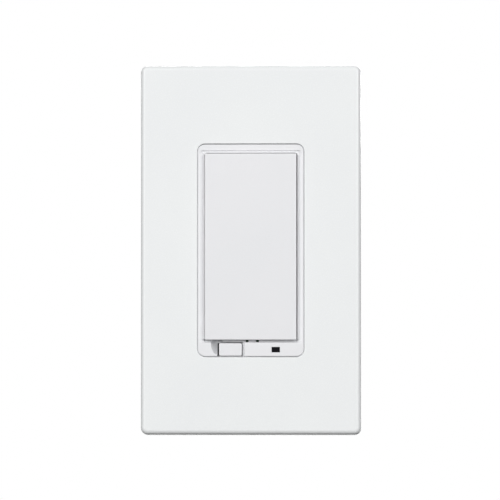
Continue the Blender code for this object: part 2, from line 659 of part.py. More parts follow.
def make_wall_plate(shop):
    """The snap cover: a shallow rounded tray with the opening, a lip round it and catches on its sides."""
    open_x, open_z = OPENING_WIDTH / 2, OPENING_HEIGHT / 2
    tray = cushion(
        PLATE_HALF_X,
        -PLATE_HALF_Z,
        PLATE_HALF_Z,
        PLATE_CORNER,
        0.0,
        PLATE_FRONT,
        PLATE_EDGE_ROUND,
        PLATE_DRAFT,
    )
    plate = shop.piece("wall_plate", tray, "gloss_white")
    shop.cut(
        plate,
        block((-PLATE_INNER_X, PLATE_INNER, -PLATE_INNER_Z), (PLATE_INNER_X, PLATE_WALL, PLATE_INNER_Z)),
    )
    lip_x, lip_z = open_x + COLLAR_WALL, open_z + COLLAR_WALL
    lip_start = PLATE_INNER - PLATE_WALL / 2
    lip_end = PLATE_INNER + COLLAR_DEPTH
    lip = block((-lip_x, lip_start, -lip_z), (lip_x, lip_end, lip_z), OPENING_CORNER + COLLAR_WALL)
    shop.join(plate, lip)
    low, high = (-open_x, PLATE_FRONT - PLATE_WALL, -open_z), (open_x, lip_end + PLATE_WALL, open_z)
    shop.cut(plate, block(low, high, OPENING_CORNER))
    catch_front = FRAME_BACK + SEAT_GAP
    for side in (-1, 1):
        for row in (-1, 0, 1):
            middle_x = side * (PLATE_INNER_X + (PLATE_WALL / 2 - CATCH_REACH) / 2)
            middle = (middle_x, catch_front + CATCH_THICKNESS / 2, row * CATCH_PITCH)
            shop.join(plate, centred(middle, (CATCH_REACH + PLATE_WALL / 2, CATCH_THICKNESS, CATCH_LENGTH)))


def make_sub_plate(shop):
    """The flat frame screwed to the strap, with a stiffening rim that faces the wall plate."""
    half_x = PLATE_INNER_X - SUB_PLATE_EDGE_GAP
    half_z = PLATE_INNER_Z - SUB_PLATE_EDGE_GAP
    rim_front = PLATE_INNER + SEAT_GAP
    frame = shop.piece(
        "sub_plate",
        block((-half_x, rim_front, -half_z), (half_x, FRAME_BACK, half_z), SUB_PLATE_CORNER),
        "frame_white",
    )
    rim_x, rim_z = half_x - SUB_PLATE_RIB, half_z - SUB_PLATE_RIB
    shop.cut(frame, block((-rim_x, PLATE_FRONT, -rim_z), (rim_x, SUB_FRONT, rim_z)))
    open_x = OPENING_WIDTH / 2 + COLLAR_WALL + SUB_PLATE_EDGE_GAP
    open_z = OPENING_HEIGHT / 2 + COLLAR_WALL + SUB_PLATE_EDGE_GAP
    shop.cut(frame, block((-open_x, PLATE_FRONT, -open_z), (open_x, 0.0, open_z), OPENING_CORNER))
    for way, place in ((1, "upper"), (-1, "lower")):
        relief_z, screw_z = way * BOX_SCREW_Z, way * PLATE_SCREW_Z
        shop.cut(
            frame,
            rod((0.0, PLATE_FRONT, relief_z), (0.0, 0.0, relief_z), RELIEF_RADIUS),
            rod((0.0, PLATE_FRONT, screw_z), (0.0, 0.0, screw_z), PLATE_SCREW_RADIUS + SLIDE_GAP),
        )
        shop.screw(
            f"sub_plate_screw_{place}",
            "steel",
            (0.0, SUB_FRONT - SEAT_GAP, screw_z),
            (0, -1, 0),
            PLATE_SCREW_RADIUS,
            PLATE_SCREW_LENGTH,
            PLATE_SCREW_HEAD,
            PLATE_SCREW_HEAD_HEIGHT,
        )


def strap_outline():
    """The strap's quarter outline, mirrored into the whole: ears, core and break-off fins."""
    upper_right = [
        (STRAP_HALF_X, FIN_INNER_Z),
        (FIN_HALF_X, FIN_INNER_Z),
        (FIN_HALF_X, FIN_OUTER_Z),
        (STRAP_HALF_X, FIN_OUTER_Z),
        (STRAP_HALF_X, STRAP_CORE_Z),
        (EAR_HALF_X, STRAP_CORE_Z + STRAP_SHOULDER),
        (EAR_HALF_X, STRAP_HALF_Z),
    ]
    upper_left = [(-x, z) for x, z in reversed(upper_right)]
    lower_left = [(-x, -z) for x, z in upper_right]
    lower_right = [(x, -z) for x, z in reversed(upper_right)]
    return upper_right + upper_left + lower_left + lower_right


def make_strap(shop):
    """The aluminium yoke: box-screw slots, tapped holes, fins, and the windows that the front parts pass."""
    strap = shop.piece("strap", prism(strap_outline(), "Y", STRAP_FRONT, 0.0, STRAP_CORNER), "aluminium")
    through = (STRAP_FRONT - STRAP_THICKNESS, STRAP_THICKNESS)

    def hole(x, z, radius):
        shop.cut(strap, rod((x, through[0], z), (x, through[1], z), radius, SCREW_SIDES))

    def slot(x, z, width, height, corner=0.0):
        shop.cut(strap, centred((x, sum(through) / 2, z), (width, through[1] - through[0], height), corner))

    slot_half = BOX_SCREW_RADIUS + SCREW_GAP
    fin_length = FIN_OUTER_Z - FIN_INNER_Z
    for way in (-1, 1):
        slot(0.0, way * BOX_SCREW_Z, BOX_SLOT_LENGTH, 2 * slot_half, BOX_SLOT_END * slot_half)
        hole(0.0, way * PLATE_SCREW_Z, PLATE_SCREW_RADIUS + SCREW_GAP)
        for side in (-1, 1):
            middle_z = way * (FIN_INNER_Z + FIN_OUTER_Z) / 2
            slot_x = side * (STRAP_HALF_X + FIN_SLOT_WIDTH)
            slot(slot_x, middle_z, FIN_SLOT_WIDTH, fin_length - 2 * FIN_NECK)
    for x, z in BOSS_PLACES:
        hole(x, z, BOSS_RADIUS + SLIDE_GAP)
    for z in FOOT_PLACES:
        hole(0.0, z, FOOT_RADIUS + FOOT_HOLE_GAP)
    hole(TRIAC_X, TRIAC_HOLE_Z, RIVET_RADIUS + SLIDE_GAP)
    slot(LENS_X, LENS_Z, LENS_WIDTH + 2 * SLIDE_GAP, LENS_HEIGHT + 2 * SLIDE_GAP)
    slot(TAB_X, STRIP_Z, TAIL_WIDTH + 2 * SLIDE_GAP, TAIL_HEIGHT + 2 * SLIDE_GAP)


def make_box_screws(shop):
    """The two screws that hold the strap in the device box, each kept in its slot by a fibre washer."""
    for way, place in ((1, "upper"), (-1, "lower")):
        z = way * BOX_SCREW_Z
        shop.screw(
            f"box_screw_{place}",
            "steel",
            (0.0, FRAME_BACK, z),
            (0, -1, 0),
            BOX_SCREW_RADIUS,
            BOX_SCREW_LENGTH,
            BOX_SCREW_HEAD,
            BOX_SCREW_HEAD_HEIGHT,
        )
        middle = (0.0, SEAT_GAP + KEEPER_THICKNESS / 2, z)
        keeper = shop.piece(
            f"screw_keeper_{place}",
            centred(middle, (KEEPER_SIDE, KEEPER_THICKNESS, KEEPER_SIDE), KEEPER_CORNER),
            "fibre",
        )
        through = rod((0.0, -KEEPER_SIDE, z), (0.0, KEEPER_SIDE, z), BOX_SCREW_RADIUS + SCREW_GAP)
        shop.cut(keeper, through)


def recess_cutter():
    """What the paddle's recess takes out of the bezel, with bands that roll down towards the paddle."""
    band_x = BEZEL_HALF_X - RECESS_HALF_X - BAND_RIM
    band_top = BEZEL_HALF_Z - RECESS_HIGH - BAND_RIM
    rings = [rounded_ring(RECESS_HALF_X, RECESS_LOW, RECESS_HIGH, RECESS_CORNER, BEZEL_FLOOR)]
    for step in range(ROLL_STEPS + 1):
        angle = math.radians(90.0 * step / ROLL_STEPS)
        spread = math.sin(angle)
        y = BEZEL_FRONT + BAND_SLOPE_DEPTH * (1.0 - spread) ** BAND_CURVE
        rings.append(
            rounded_ring(
                RECESS_HALF_X + band_x * spread,
                RECESS_LOW - STRIP_RIM * spread,
                RECESS_HIGH + band_top * spread,
                RECESS_CORNER + 0.5 * band_x * spread,
                y,
            )
        )
    rings.append([(x, BEZEL_FRONT - BEZEL_PROUD, z) for x, _, z in rings[-1]])
    return loft(rings)


def make_bezel(shop):
    """The frame in the opening: paddle recess, pivots, spring seats, tab notch, window and bosses."""
    body = cushion(
        BEZEL_HALF_X,
        -BEZEL_HALF_Z,
        BEZEL_HALF_Z,
        OPENING_CORNER - BEZEL_GAP,
        FRAME_BACK,
        BEZEL_FRONT,
        BEZEL_EDGE_ROUND,
    )
    bezel = shop.piece("bezel", body, "satin_white")
    shop.cut(bezel, recess_cutter())
    notch = TAB_WIDTH / 2 + TAB_SIDE_GAP
    notch_low = (TAB_X - notch, BEZEL_FRONT - BEZEL_PROUD, -OPENING_HEIGHT / 2)
    notch_high = (TAB_X + notch, BEZEL_FLOOR, RECESS_LOW + BEZEL_GAP)
    scoop = (TAB_X - notch, BEZEL_FRONT, RECESS_LOW - BEZEL_GAP)
    shop.cut(bezel, block(notch_low, notch_high), ellipsoid(scoop, (SCOOP_WIDTH, SCOOP_DEPTH, SCOOP_HEIGHT)))
    floor_front, floor_behind = BEZEL_FLOOR - BEZEL_FLOOR_THICKNESS, 0.0

    def slot(x, z, width, height):
        middle = (x, (floor_front + floor_behind) / 2, z)
        shop.cut(bezel, centred(middle, (width, floor_behind - floor_front, height)))

    def hole(x, z, radius):
        shop.cut(bezel, rod((x, floor_front, z), (x, floor_behind, z), radius))

    slot(TAB_X, STRIP_Z, TAIL_WIDTH + 2 * SLIDE_GAP, TAIL_HEIGHT + 2 * SLIDE_GAP)
    for side in (-1, 1):
        slot_x = TONGUE_X + side * TONGUE_SLOT_OFFSET
        slot(slot_x, RECESS_LOW + PADDLE_BOTTOM_GAP / 2, TONGUE_SLOT_WIDTH, TONGUE_SLOT_HEIGHT)
    window_x, window_z = LENS_WIDTH / 2 + LENS_GAP, LENS_HEIGHT / 2 + LENS_GAP
    window_low = (LENS_X - window_x, PADDLE_FRONT, LENS_Z - window_z)
    shop.cut(bezel, block(window_low, (LENS_X + window_x, 0.0, LENS_Z + window_z)))
    for z in FOOT_PLACES:
        hole(0.0, z, FOOT_RADIUS + FOOT_HOLE_GAP)
    hole(TRIAC_X, TRIAC_HOLE_Z, RIVET_HEAD + SLIDE_GAP)
    seat_top, seat_root = BEZEL_FLOOR - SPRING_SEAT_HEIGHT, BEZEL_FLOOR + BEZEL_FLOOR_THICKNESS / 4
    for z in SPRING_PLACES:
        shop.join(bezel, rod((0.0, seat_top, z), (0.0, seat_root, z), SPRING_SEAT_RADIUS, HIDDEN_SIDES))
    pocket_end = PADDLE_HALF_X + PIVOT_PIN_LENGTH + SEAT_GAP
    for side in (-1, 1):
        start = (side * PADDLE_HALF_X, PIVOT_Y, PIVOT_Z)
        end = (side * pocket_end, PIVOT_Y, PIVOT_Z)
        shop.cut(bezel, rod(start, end, PIVOT_RADIUS + PIVOT_RUNNING_GAP, HIDDEN_SIDES))
    pilot_end = BEZEL_FLOOR + BEZEL_FLOOR_THICKNESS / 2
    pilot_radius = HOUSING_SCREW_RADIUS + SCREW_GAP
    for x, z in BOSS_PLACES:
        shop.join(bezel, rod((x, pilot_end, z), (x, BOSS_END, z), BOSS_RADIUS, SCREW_SIDES))
        shop.cut(
            bezel,
            rod((x, pilot_end + SEAT_GAP, z), (x, BOSS_END + BOSS_RADIUS, z), pilot_radius, HIDDEN_SIDES),
        )


def paddle_profile():
    """The paddle's side outline, (Y, Z): a slightly crowned face and a straight back."""
    half = (PADDLE_HIGH - PADDLE_LOW) / 2
    steps = 2 * ROLL_STEPS
    outline = [(PADDLE_SKIRT, PADDLE_LOW)]
    for step in range(steps + 1):
        share = 2.0 * step / steps - 1.0
        outline.append((PADDLE_FRONT + PADDLE_CROWN * share * share, PIVOT_Z + half * share))
    outline.append((PADDLE_SKIRT, PADDLE_HIGH))
    return outline


def make_paddle(shop):
    """The rocker: a ribbed shell on two pivot pins, with a foot over each push-button."""
    shell = prism(paddle_profile(), "X", -PADDLE_HALF_X, PADDLE_HALF_X)
    face_edges = [e for e in shell.edges if e.calc_face_angle() > math.radians(45)]
    rim = [e for e in face_edges if any(v.co.y < PADDLE_SKIRT - PADDLE_EDGE_ROUND for v in e.verts)]
    bmesh.ops.bevel(shell, geom=rim, offset=PADDLE_EDGE_ROUND, segments=2, profile=0.5, affect="EDGES")
    paddle = shop.piece("paddle", shell, "satin_white", (0.0, PIVOT_Y, PIVOT_Z))
    inner_x = PADDLE_HALF_X - PADDLE_WALL
    hollow_low = (-inner_x, PADDLE_INNER, PADDLE_LOW + PADDLE_WALL)
    shop.cut(paddle, block(hollow_low, (inner_x, 0.0, PADDLE_HIGH - PADDLE_WALL)))
    rib_start, rib_end = PADDLE_INNER - PADDLE_FACE / 2, PADDLE_INNER + PADDLE_RIB_HEIGHT
    reach = inner_x + PADDLE_WALL / 2
    for foot_z, spring_z in zip(FOOT_PLACES, SPRING_PLACES):
        middle_z = (foot_z + spring_z) / 2
        low_z, high_z = middle_z - PADDLE_RIB / 2, middle_z + PADDLE_RIB / 2
        shop.join(paddle, block((-reach, rib_start, low_z), (reach, rib_end, high_z)))
    for z in FOOT_PLACES:
        shop.join(paddle, rod((0.0, rib_start, z), (0.0, FOOT_TIP, z), FOOT_RADIUS))
    ear_half, ear_end = PIVOT_EAR / 2, PIVOT_Y + PIVOT_RADIUS + PIVOT_RUNNING_GAP
    for side in (-1, 1):
        near, far = sorted((side * inner_x, side * PADDLE_HALF_X))
        ear = block(
            (near, PADDLE_SKIRT - PADDLE_WALL, PIVOT_Z - ear_half),
            (far, ear_end, PIVOT_Z + ear_half),
        )
        pin_start = (side * (inner_x + PADDLE_WALL / 2), PIVOT_Y, PIVOT_Z)
        pin_end = (side * (PADDLE_HALF_X + PIVOT_PIN_LENGTH), PIVOT_Y, PIVOT_Z)
        shop.join(paddle, ear, rod(pin_start, pin_end, PIVOT_RADIUS, HIDDEN_SIDES))


def make_springs(shop):
    """Two small coil springs that bring the paddle back level."""
    back = BEZEL_FLOOR - SEAT_GAP - SPRING_WIRE
    front = PADDLE_INNER + SEAT_GAP + SPRING_WIRE
    for z, name in zip(SPRING_PLACES, ("upper_spring", "lower_spring")):
        points = []
        count = SPRING_TURNS * WIRE_POINTS
        for step in range(count + 1):
            angle = 2.0 * math.pi * step / WIRE_POINTS
            y = back + (front - back) * step / count
            points.append((SPRING_RADIUS * math.cos(angle), y, z + SPRING_RADIUS * math.sin(angle)))
        shop.wire(name, points, SPRING_WIRE, "spring_steel")


def make_air_gap_switch(shop):
    """The pull tab with its tail and stop, the bridge on the tail and the two contacts that it joins."""
    tab_back = BEZEL_FLOOR - TAB_BASE_GAP
    contact_top = POWER_BOARD_Y - SEAT_GAP - CONTACT_FOOT_THICKNESS - 2 * CONTACT_RADIUS
    bridge_back = contact_top - SEAT_GAP
    bridge_front = bridge_back - BRIDGE_THICKNESS
    tail_end = bridge_front - SEAT_GAP
    stop_front = TAB_TRAVEL + SEAT_GAP
    stop_back = stop_front + TAIL_STOP_LENGTH
    button = cushion(TAB_WIDTH / 2, TAB_LOW, TAB_HIGH, 2 * TAB_ROUND, tab_back, BEZEL_FRONT, TAB_ROUND)
    bmesh.ops.translate(button, verts=button.verts, vec=(TAB_X, 0.0, 0.0))
    tab = shop.piece("air_gap_tab", button, "satin_white", (TAB_X, BEZEL_FRONT, STRIP_Z))
    tail_low = (TAB_X - TAIL_WIDTH / 2, tab_back - TAB_BASE_GAP, STRIP_Z - TAIL_HEIGHT / 2)
    tail_high = (TAB_X + TAIL_WIDTH / 2, tail_end, STRIP_Z + TAIL_HEIGHT / 2)
    stop_middle = (TAB_X, (stop_front + stop_back) / 2, STRIP_Z)
    stop_size = (TAIL_STOP_WIDTH, stop_back - stop_front, TAIL_HEIGHT + 2 * TAIL_STOP_REACH)
    pin_start = (TAB_X, tail_end - TAIL_HEIGHT, STRIP_Z)
    pin_end = (TAB_X, contact_top + SEAT_GAP, STRIP_Z)
    shop.join(
        tab,
        block(tail_low, tail_high),
        centred(stop_middle, stop_size),
        rod(pin_start, pin_end, TAIL_PIN_RADIUS, HIDDEN_SIDES),
    )
    bridge_middle = (TAB_X, (bridge_front + bridge_back) / 2, STRIP_Z)
    bridge_length = 2 * (CONTACT_OFFSET + CONTACT_RADIUS + BRIDGE_OVERHANG)
    bridge = shop.piece(
        "air_gap_bridge",
        centred(bridge_middle, (bridge_length, BRIDGE_THICKNESS, BRIDGE_HEIGHT), BRIDGE_CORNER),
        "copper",
        bridge_middle,
    )
    hole_start, hole_end = (TAB_X, tail_end, STRIP_Z), (TAB_X, contact_top + TAIL_HEIGHT, STRIP_Z)
    shop.cut(bridge, rod(hole_start, hole_end, TAIL_PIN_RADIUS + SCREW_GAP, HIDDEN_SIDES))
    foot_back = POWER_BOARD_Y - SEAT_GAP
    foot_front = foot_back - CONTACT_FOOT_THICKNESS
    for side, name in ((-1, "air_gap_contact_left"), (1, "air_gap_contact_right")):
        x = TAB_X + side * CONTACT_OFFSET
        foot = centred(
            (x, (foot_front + foot_back) / 2, STRIP_Z),
            (2 * CONTACT_FOOT, CONTACT_FOOT_THICKNESS, 2 * CONTACT_FOOT),
        )
        contact = shop.piece(name, foot, "brass")
        tip, root = (x, contact_top, STRIP_Z), (x, foot_front + CONTACT_FOOT_THICKNESS / 2, STRIP_Z)
        shop.join(contact, rod(tip, root, CONTACT_RADIUS, HIDDEN_SIDES))


def make_indicator(shop):
    """The smoked window in the lower strip, a light pipe back to the small light on the front board."""
    led_front = FRONT_BOARD_Y - SEAT_GAP - LED_THICKNESS
    front = (LENS_X - LENS_WIDTH / 2, BEZEL_FRONT - LENS_PROUD, LENS_Z - LENS_HEIGHT / 2)
    back = (LENS_X + LENS_WIDTH / 2, led_front - SEAT_GAP, LENS_Z + LENS_HEIGHT / 2)
    shop.piece("indicator_lens", block(front, back), "smoked")
    led_middle = (LENS_X, led_front + LED_THICKNESS / 2, LENS_Z)
    shop.piece("status_led", centred(led_middle, (LED_WIDTH, LED_THICKNESS, LED_HEIGHT)), "clear")


def front_board_outline():
    """The front board, (X, Z): necked between the screw posts, and open for the triac and the tab's tail."""
    half = CAVITY_HALF_X - BOARD_GAP
    triac_side = TRIAC_X - TRIAC_WIDTH / 2 - 2 * BOARD_GAP
    triac_low = TRIAC_HOLE_Z - TRIAC_HOLE_TO_BODY - TRIAC_BODY_HEIGHT - TRIAC_LEG_DROP - 2 * BOARD_GAP
    tail_side = TAB_X + TAIL_STOP_WIDTH / 2 + BOARD_GAP
    tail_top = STRIP_Z + TAIL_HEIGHT / 2 + TAIL_STOP_REACH + BOARD_GAP
    return [
        (-BOARD_NECK, BOARD_END),
        (BOARD_NECK, BOARD_END),
        (BOARD_NECK, BOARD_SHOULDER + BOARD_GAP),
        (triac_side, BOARD_SHOULDER + BOARD_GAP),
        (triac_side, triac_low),
        (half, triac_low),
        (half, -BOARD_SHOULDER),
        (BOARD_NECK, -BOARD_SHOULDER),
        (BOARD_NECK, -BOARD_END),
        (tail_side, -BOARD_END),
        (tail_side, tail_top),
        (-BOARD_NECK, tail_top),
        (-BOARD_NECK, -BOARD_SHOULDER),
        (-half, -BOARD_SHOULDER),
        (-half, BOARD_SHOULDER),
        (-BOARD_NECK, BOARD_SHOULDER),
    ]


def make_front_board(shop):
    """The front board with the two push-button switches, the processor, the radio and the board link."""
    board = prism(front_board_outline(), "Y", FRONT_BOARD_Y, FRONT_BOARD_BACK, BOARD_CORNER)
    shop.piece("front_board", board, "board_green")
    well_floor = SWITCH_FRONT + BUTTON_DEPTH + BUTTON_TRAVEL + SEAT_GAP
    for z, place in zip(FOOT_PLACES, ("upper", "lower")):
        middle = (0.0, (SWITCH_FRONT + SWITCH_BACK) / 2, z)
        size = (SWITCH_SIDE, SWITCH_HEIGHT, SWITCH_SIDE)
        switch = shop.piece(f"{place}_switch", centred(middle, size, SWITCH_CORNER), "black")
        well_start = (0.0, SWITCH_FRONT - BUTTON_REACH, z)
        shop.cut(switch, rod(well_start, (0.0, well_floor, z), BUTTON_RADIUS + SEAT_GAP))
        button_end = (0.0, SWITCH_FRONT + BUTTON_DEPTH, z)
        button_tip = (0.0, BUTTON_TIP, z)
        shop.piece(f"{place}_button", rod(button_tip, button_end, BUTTON_RADIUS), "sand", button_tip)
    rear = FRONT_BOARD_BACK + SEAT_GAP
    chip = centred((CHIP_X, rear + CHIP_HEIGHT / 2, CHIP_Z), (CHIP_SIDE, CHIP_HEIGHT, CHIP_SIDE))
    shop.piece("microcontroller", chip, "black")
    radio_middle = (RADIO_X, rear + RADIO_THICKNESS / 2, RADIO_Z)
    radio = centred(radio_middle, (RADIO_WIDTH, RADIO_THICKNESS, RADIO_HEIGHT))
    shop.piece("radio_board", radio, "board_green")
    shield_front = rear + RADIO_THICKNESS + SEAT_GAP
    shield_size = (RADIO_WIDTH - 2 * SHIELD_MARGIN, SHIELD_HEIGHT, RADIO_HEIGHT - 2 * SHIELD_MARGIN)
    shield = centred((RADIO_X, shield_front + SHIELD_HEIGHT / 2, RADIO_Z), shield_size, SHIELD_MARGIN / 2)
    shop.piece("radio_shield", shield, "steel")
    header_length = POWER_BOARD_Y - FRONT_BOARD_BACK - 2 * SEAT_GAP
    header = centred(
        (HEADER_X, rear + header_length / 2, HEADER_Z),
        (HEADER_WIDTH, header_length, HEADER_LENGTH),
    )
    shop.piece("board_header", header, "black")


def make_triac(shop):
    """The triac, its tab riveted to the strap over an insulating film, with legs bent to the power board."""
    tab_front = 2 * SEAT_GAP + INSULATOR_THICKNESS
    half = TRIAC_WIDTH / 2
    top = TRIAC_HOLE_Z + TRIAC_HOLE_TO_TOP
    body_top = TRIAC_HOLE_Z - TRIAC_HOLE_TO_BODY
    body_low = body_top - TRIAC_BODY_HEIGHT
    body = block(
        (TRIAC_X - half, tab_front, body_low),
        (TRIAC_X + half, tab_front + TRIAC_BODY_THICKNESS, body_top),
    )
    triac = shop.piece("triac", body, "black")
    tab_low = (TRIAC_X - half + SLIDE_GAP, tab_front, body_top - TRIAC_TAB_THICKNESS)
    tab_high = (TRIAC_X + half - SLIDE_GAP, tab_front + TRIAC_TAB_THICKNESS, top)
    shop.join(triac, block(tab_low, tab_high))
    leg_y = tab_front + TRIAC_BODY_THICKNESS / 2
    leg_low = body_low - TRIAC_LEG_DROP
    leg_end = POWER_BOARD_Y - SEAT_GAP
    profile = [
        (leg_y, body_low + TRIAC_LEG_DROP),
        (leg_y, leg_low),
        (leg_end, leg_low),
        (leg_end, leg_low + TRIAC_LEG_THICKNESS),
        (leg_y + TRIAC_LEG_THICKNESS, leg_low + TRIAC_LEG_THICKNESS),
        (leg_y + TRIAC_LEG_THICKNESS, body_low + TRIAC_LEG_DROP),
    ]
    for row in (-1, 0, 1):
        x = TRIAC_X + row * TRIAC_LEG_PITCH
        shop.join(triac, prism(profile, "X", x - TRIAC_LEG_WIDTH / 2, x + TRIAC_LEG_WIDTH / 2))
    hole_start, hole_end = (TRIAC_X, -SEAT_GAP, TRIAC_HOLE_Z), (TRIAC_X, FRONT_BOARD_Y, TRIAC_HOLE_Z)
    shop.cut(triac, rod(hole_start, hole_end, TRIAC_HOLE_RADIUS))
    film_half = half + INSULATOR_MARGIN
    film = block(
        (TRIAC_X - film_half, SEAT_GAP, body_low - INSULATOR_MARGIN),
        (TRIAC_X + film_half, SEAT_GAP + INSULATOR_THICKNESS, top + INSULATOR_MARGIN),
    )
    insulator = shop.piece("triac_insulator", film, "grey_film")
    shop.cut(insulator, rod(hole_start, hole_end, TRIAC_HOLE_RADIUS))
    grip = tab_front + TRIAC_TAB_THICKNESS + SEAT_GAP - FRAME_BACK
    shop.turned(
        "triac_rivet",
        [
            (0.0, RIVET_HEAD_HEIGHT),
            (RIVET_HEAD - RIVET_HEAD_SLOPE, RIVET_HEAD_HEIGHT),
            (RIVET_HEAD, RIVET_RIM),
            (RIVET_HEAD, 0.0),
            (RIVET_RADIUS, 0.0),
            (RIVET_RADIUS, -grip),
            (RIVET_TAIL, -grip),
            (RIVET_TAIL, RIVET_RIM - RIVET_HEAD_HEIGHT - grip),
            (RIVET_RADIUS, -RIVET_HEAD_HEIGHT - grip),
            (0.0, -RIVET_HEAD_HEIGHT - grip),
        ],
        "aluminium",
        (TRIAC_X, FRAME_BACK, TRIAC_HOLE_Z),
        (0, -1, 0),
        HIDDEN_SIDES,
    )


def choke_path():
    """The choke's winding: a coil round the ring's rectangular section, with rounded corners."""
    clear = CHOKE_WIRE + CHOKE_WIRE_GAP
    middle_radius = (CHOKE_OUTER + CHOKE_INNER) / 2
    half_radial = (CHOKE_OUTER - CHOKE_INNER) / 2
    middle_y = REAR_SEAT + CHOKE_COVER + CHOKE_HEIGHT / 2
    corners = ((1, 1), (-1, 1), (-1, -1), (1, -1))
    per_turn = len(corners) * len(CHOKE_BENDS)
    points = []
    for index in range(CHOKE_TURNS * per_turn):
        corner = (index // len(CHOKE_BENDS)) % len(corners)
        bend = math.radians(CHOKE_BENDS[index % len(CHOKE_BENDS)] + 90.0 * corner)
        radial = corners[corner][0] * half_radial + clear * math.cos(bend)
        along = corners[corner][1] * CHOKE_HEIGHT / 2 + clear * math.sin(bend)
        round_angle = math.radians(CHOKE_SPAN_DEG) * index / (CHOKE_TURNS * per_turn - 1)
        radius = middle_radius + radial
        points.append(
            (radius * math.sin(round_angle), middle_y + along, CHOKE_Z - radius * math.cos(round_angle))
        )
    return points, middle_y


def make_power_board(shop):
    """The power board with the choke, capacitors, supply module, surge absorber and fuse behind it."""
    half = NARROW_HALF_X - BOARD_GAP
    right = [
        (BOARD_NECK, -BOARD_END),
        (BOARD_NECK, -BOARD_SHOULDER),
        (half, -BOARD_SHOULDER),
        (half, BOARD_SHOULDER),
        (BOARD_NECK, BOARD_SHOULDER),
        (BOARD_NECK, BOARD_END),
    ]
    outline = right + [(-x, z) for x, z in reversed(right)]
    board = prism(outline, "Y", POWER_BOARD_Y, POWER_BOARD_BACK, BOARD_CORNER)
    shop.piece("power_board", board, "board_green")
    winding, core_y = choke_path()
    shop.wire("choke_winding", winding, CHOKE_WIRE, "copper")
    low, high = -CHOKE_HEIGHT / 2, CHOKE_HEIGHT / 2
    section = [(CHOKE_INNER, high), (CHOKE_OUTER, high), (CHOKE_OUTER, low), (CHOKE_INNER, low)]
    core = shop.turned("choke_core", section, "ferrite", (0.0, core_y, CHOKE_Z), (0, -1, 0))
    close_ring(core.data)
    film_middle = (FILM_X, REAR_SEAT + FILM_DEPTH / 2, 0.0)
    film = centred(film_middle, (FILM_WIDTH, FILM_DEPTH, FILM_LENGTH), FILM_CORNER)
    shop.piece("film_capacitor", film, "film_yellow")
    waist = FILTER_RADIUS - FILTER_GROOVE
    shop.turned(
        "filter_capacitor",
        [
            (0.0, FILTER_DEPTH),
            (waist, FILTER_DEPTH),
            (FILTER_RADIUS, FILTER_DEPTH - FILTER_GROOVE),
            (FILTER_RADIUS, 5 * FILTER_GROOVE),
            (waist, 4 * FILTER_GROOVE),
            (waist, 3 * FILTER_GROOVE),
            (FILTER_RADIUS, 2 * FILTER_GROOVE),
            (FILTER_RADIUS, 0.0),
            (0.0, 0.0),
        ],
        "sleeve_blue",
        (FILTER_X, REAR_SEAT, FILTER_Z),
        (0, 1, 0),
        HIDDEN_SIDES,
    )
    supply_size = (SUPPLY_SIDE, SUPPLY_DEPTH, SUPPLY_SIDE)
    supply = centred((SUPPLY_X, REAR_SEAT + SUPPLY_DEPTH / 2, SUPPLY_Z), supply_size, SUPPLY_CORNER)
    shop.piece("supply_module", supply, "black")
    surge_y = REAR_SEAT + SURGE_RADIUS
    surge_start = (SURGE_X - SURGE_THICKNESS / 2, surge_y, SURGE_Z)
    surge_end = (SURGE_X + SURGE_THICKNESS / 2, surge_y, SURGE_Z)
    shop.piece("surge_absorber", rod(surge_start, surge_end, SURGE_RADIUS, HIDDEN_SIDES), "ceramic_blue")
    fuse_y = REAR_SEAT + FUSE_RADIUS
    fuse_start, fuse_end = (-FUSE_LENGTH / 2, fuse_y, FUSE_Z), (FUSE_LENGTH / 2, fuse_y, FUSE_Z)
    shop.piece("fuse", rod(fuse_start, fuse_end, FUSE_RADIUS, HIDDEN_SIDES), "sand")


def close_ring(mesh):
    """Joins a profile's last point to its first, for a ring with a hole."""
    shape = bmesh.new()
    shape.from_mesh(mesh)
    shape.verts.ensure_lookup_table()
    shape.edges.new((shape.verts[-1], shape.verts[0]))
    shape.to_mesh(mesh)
    shape.free()


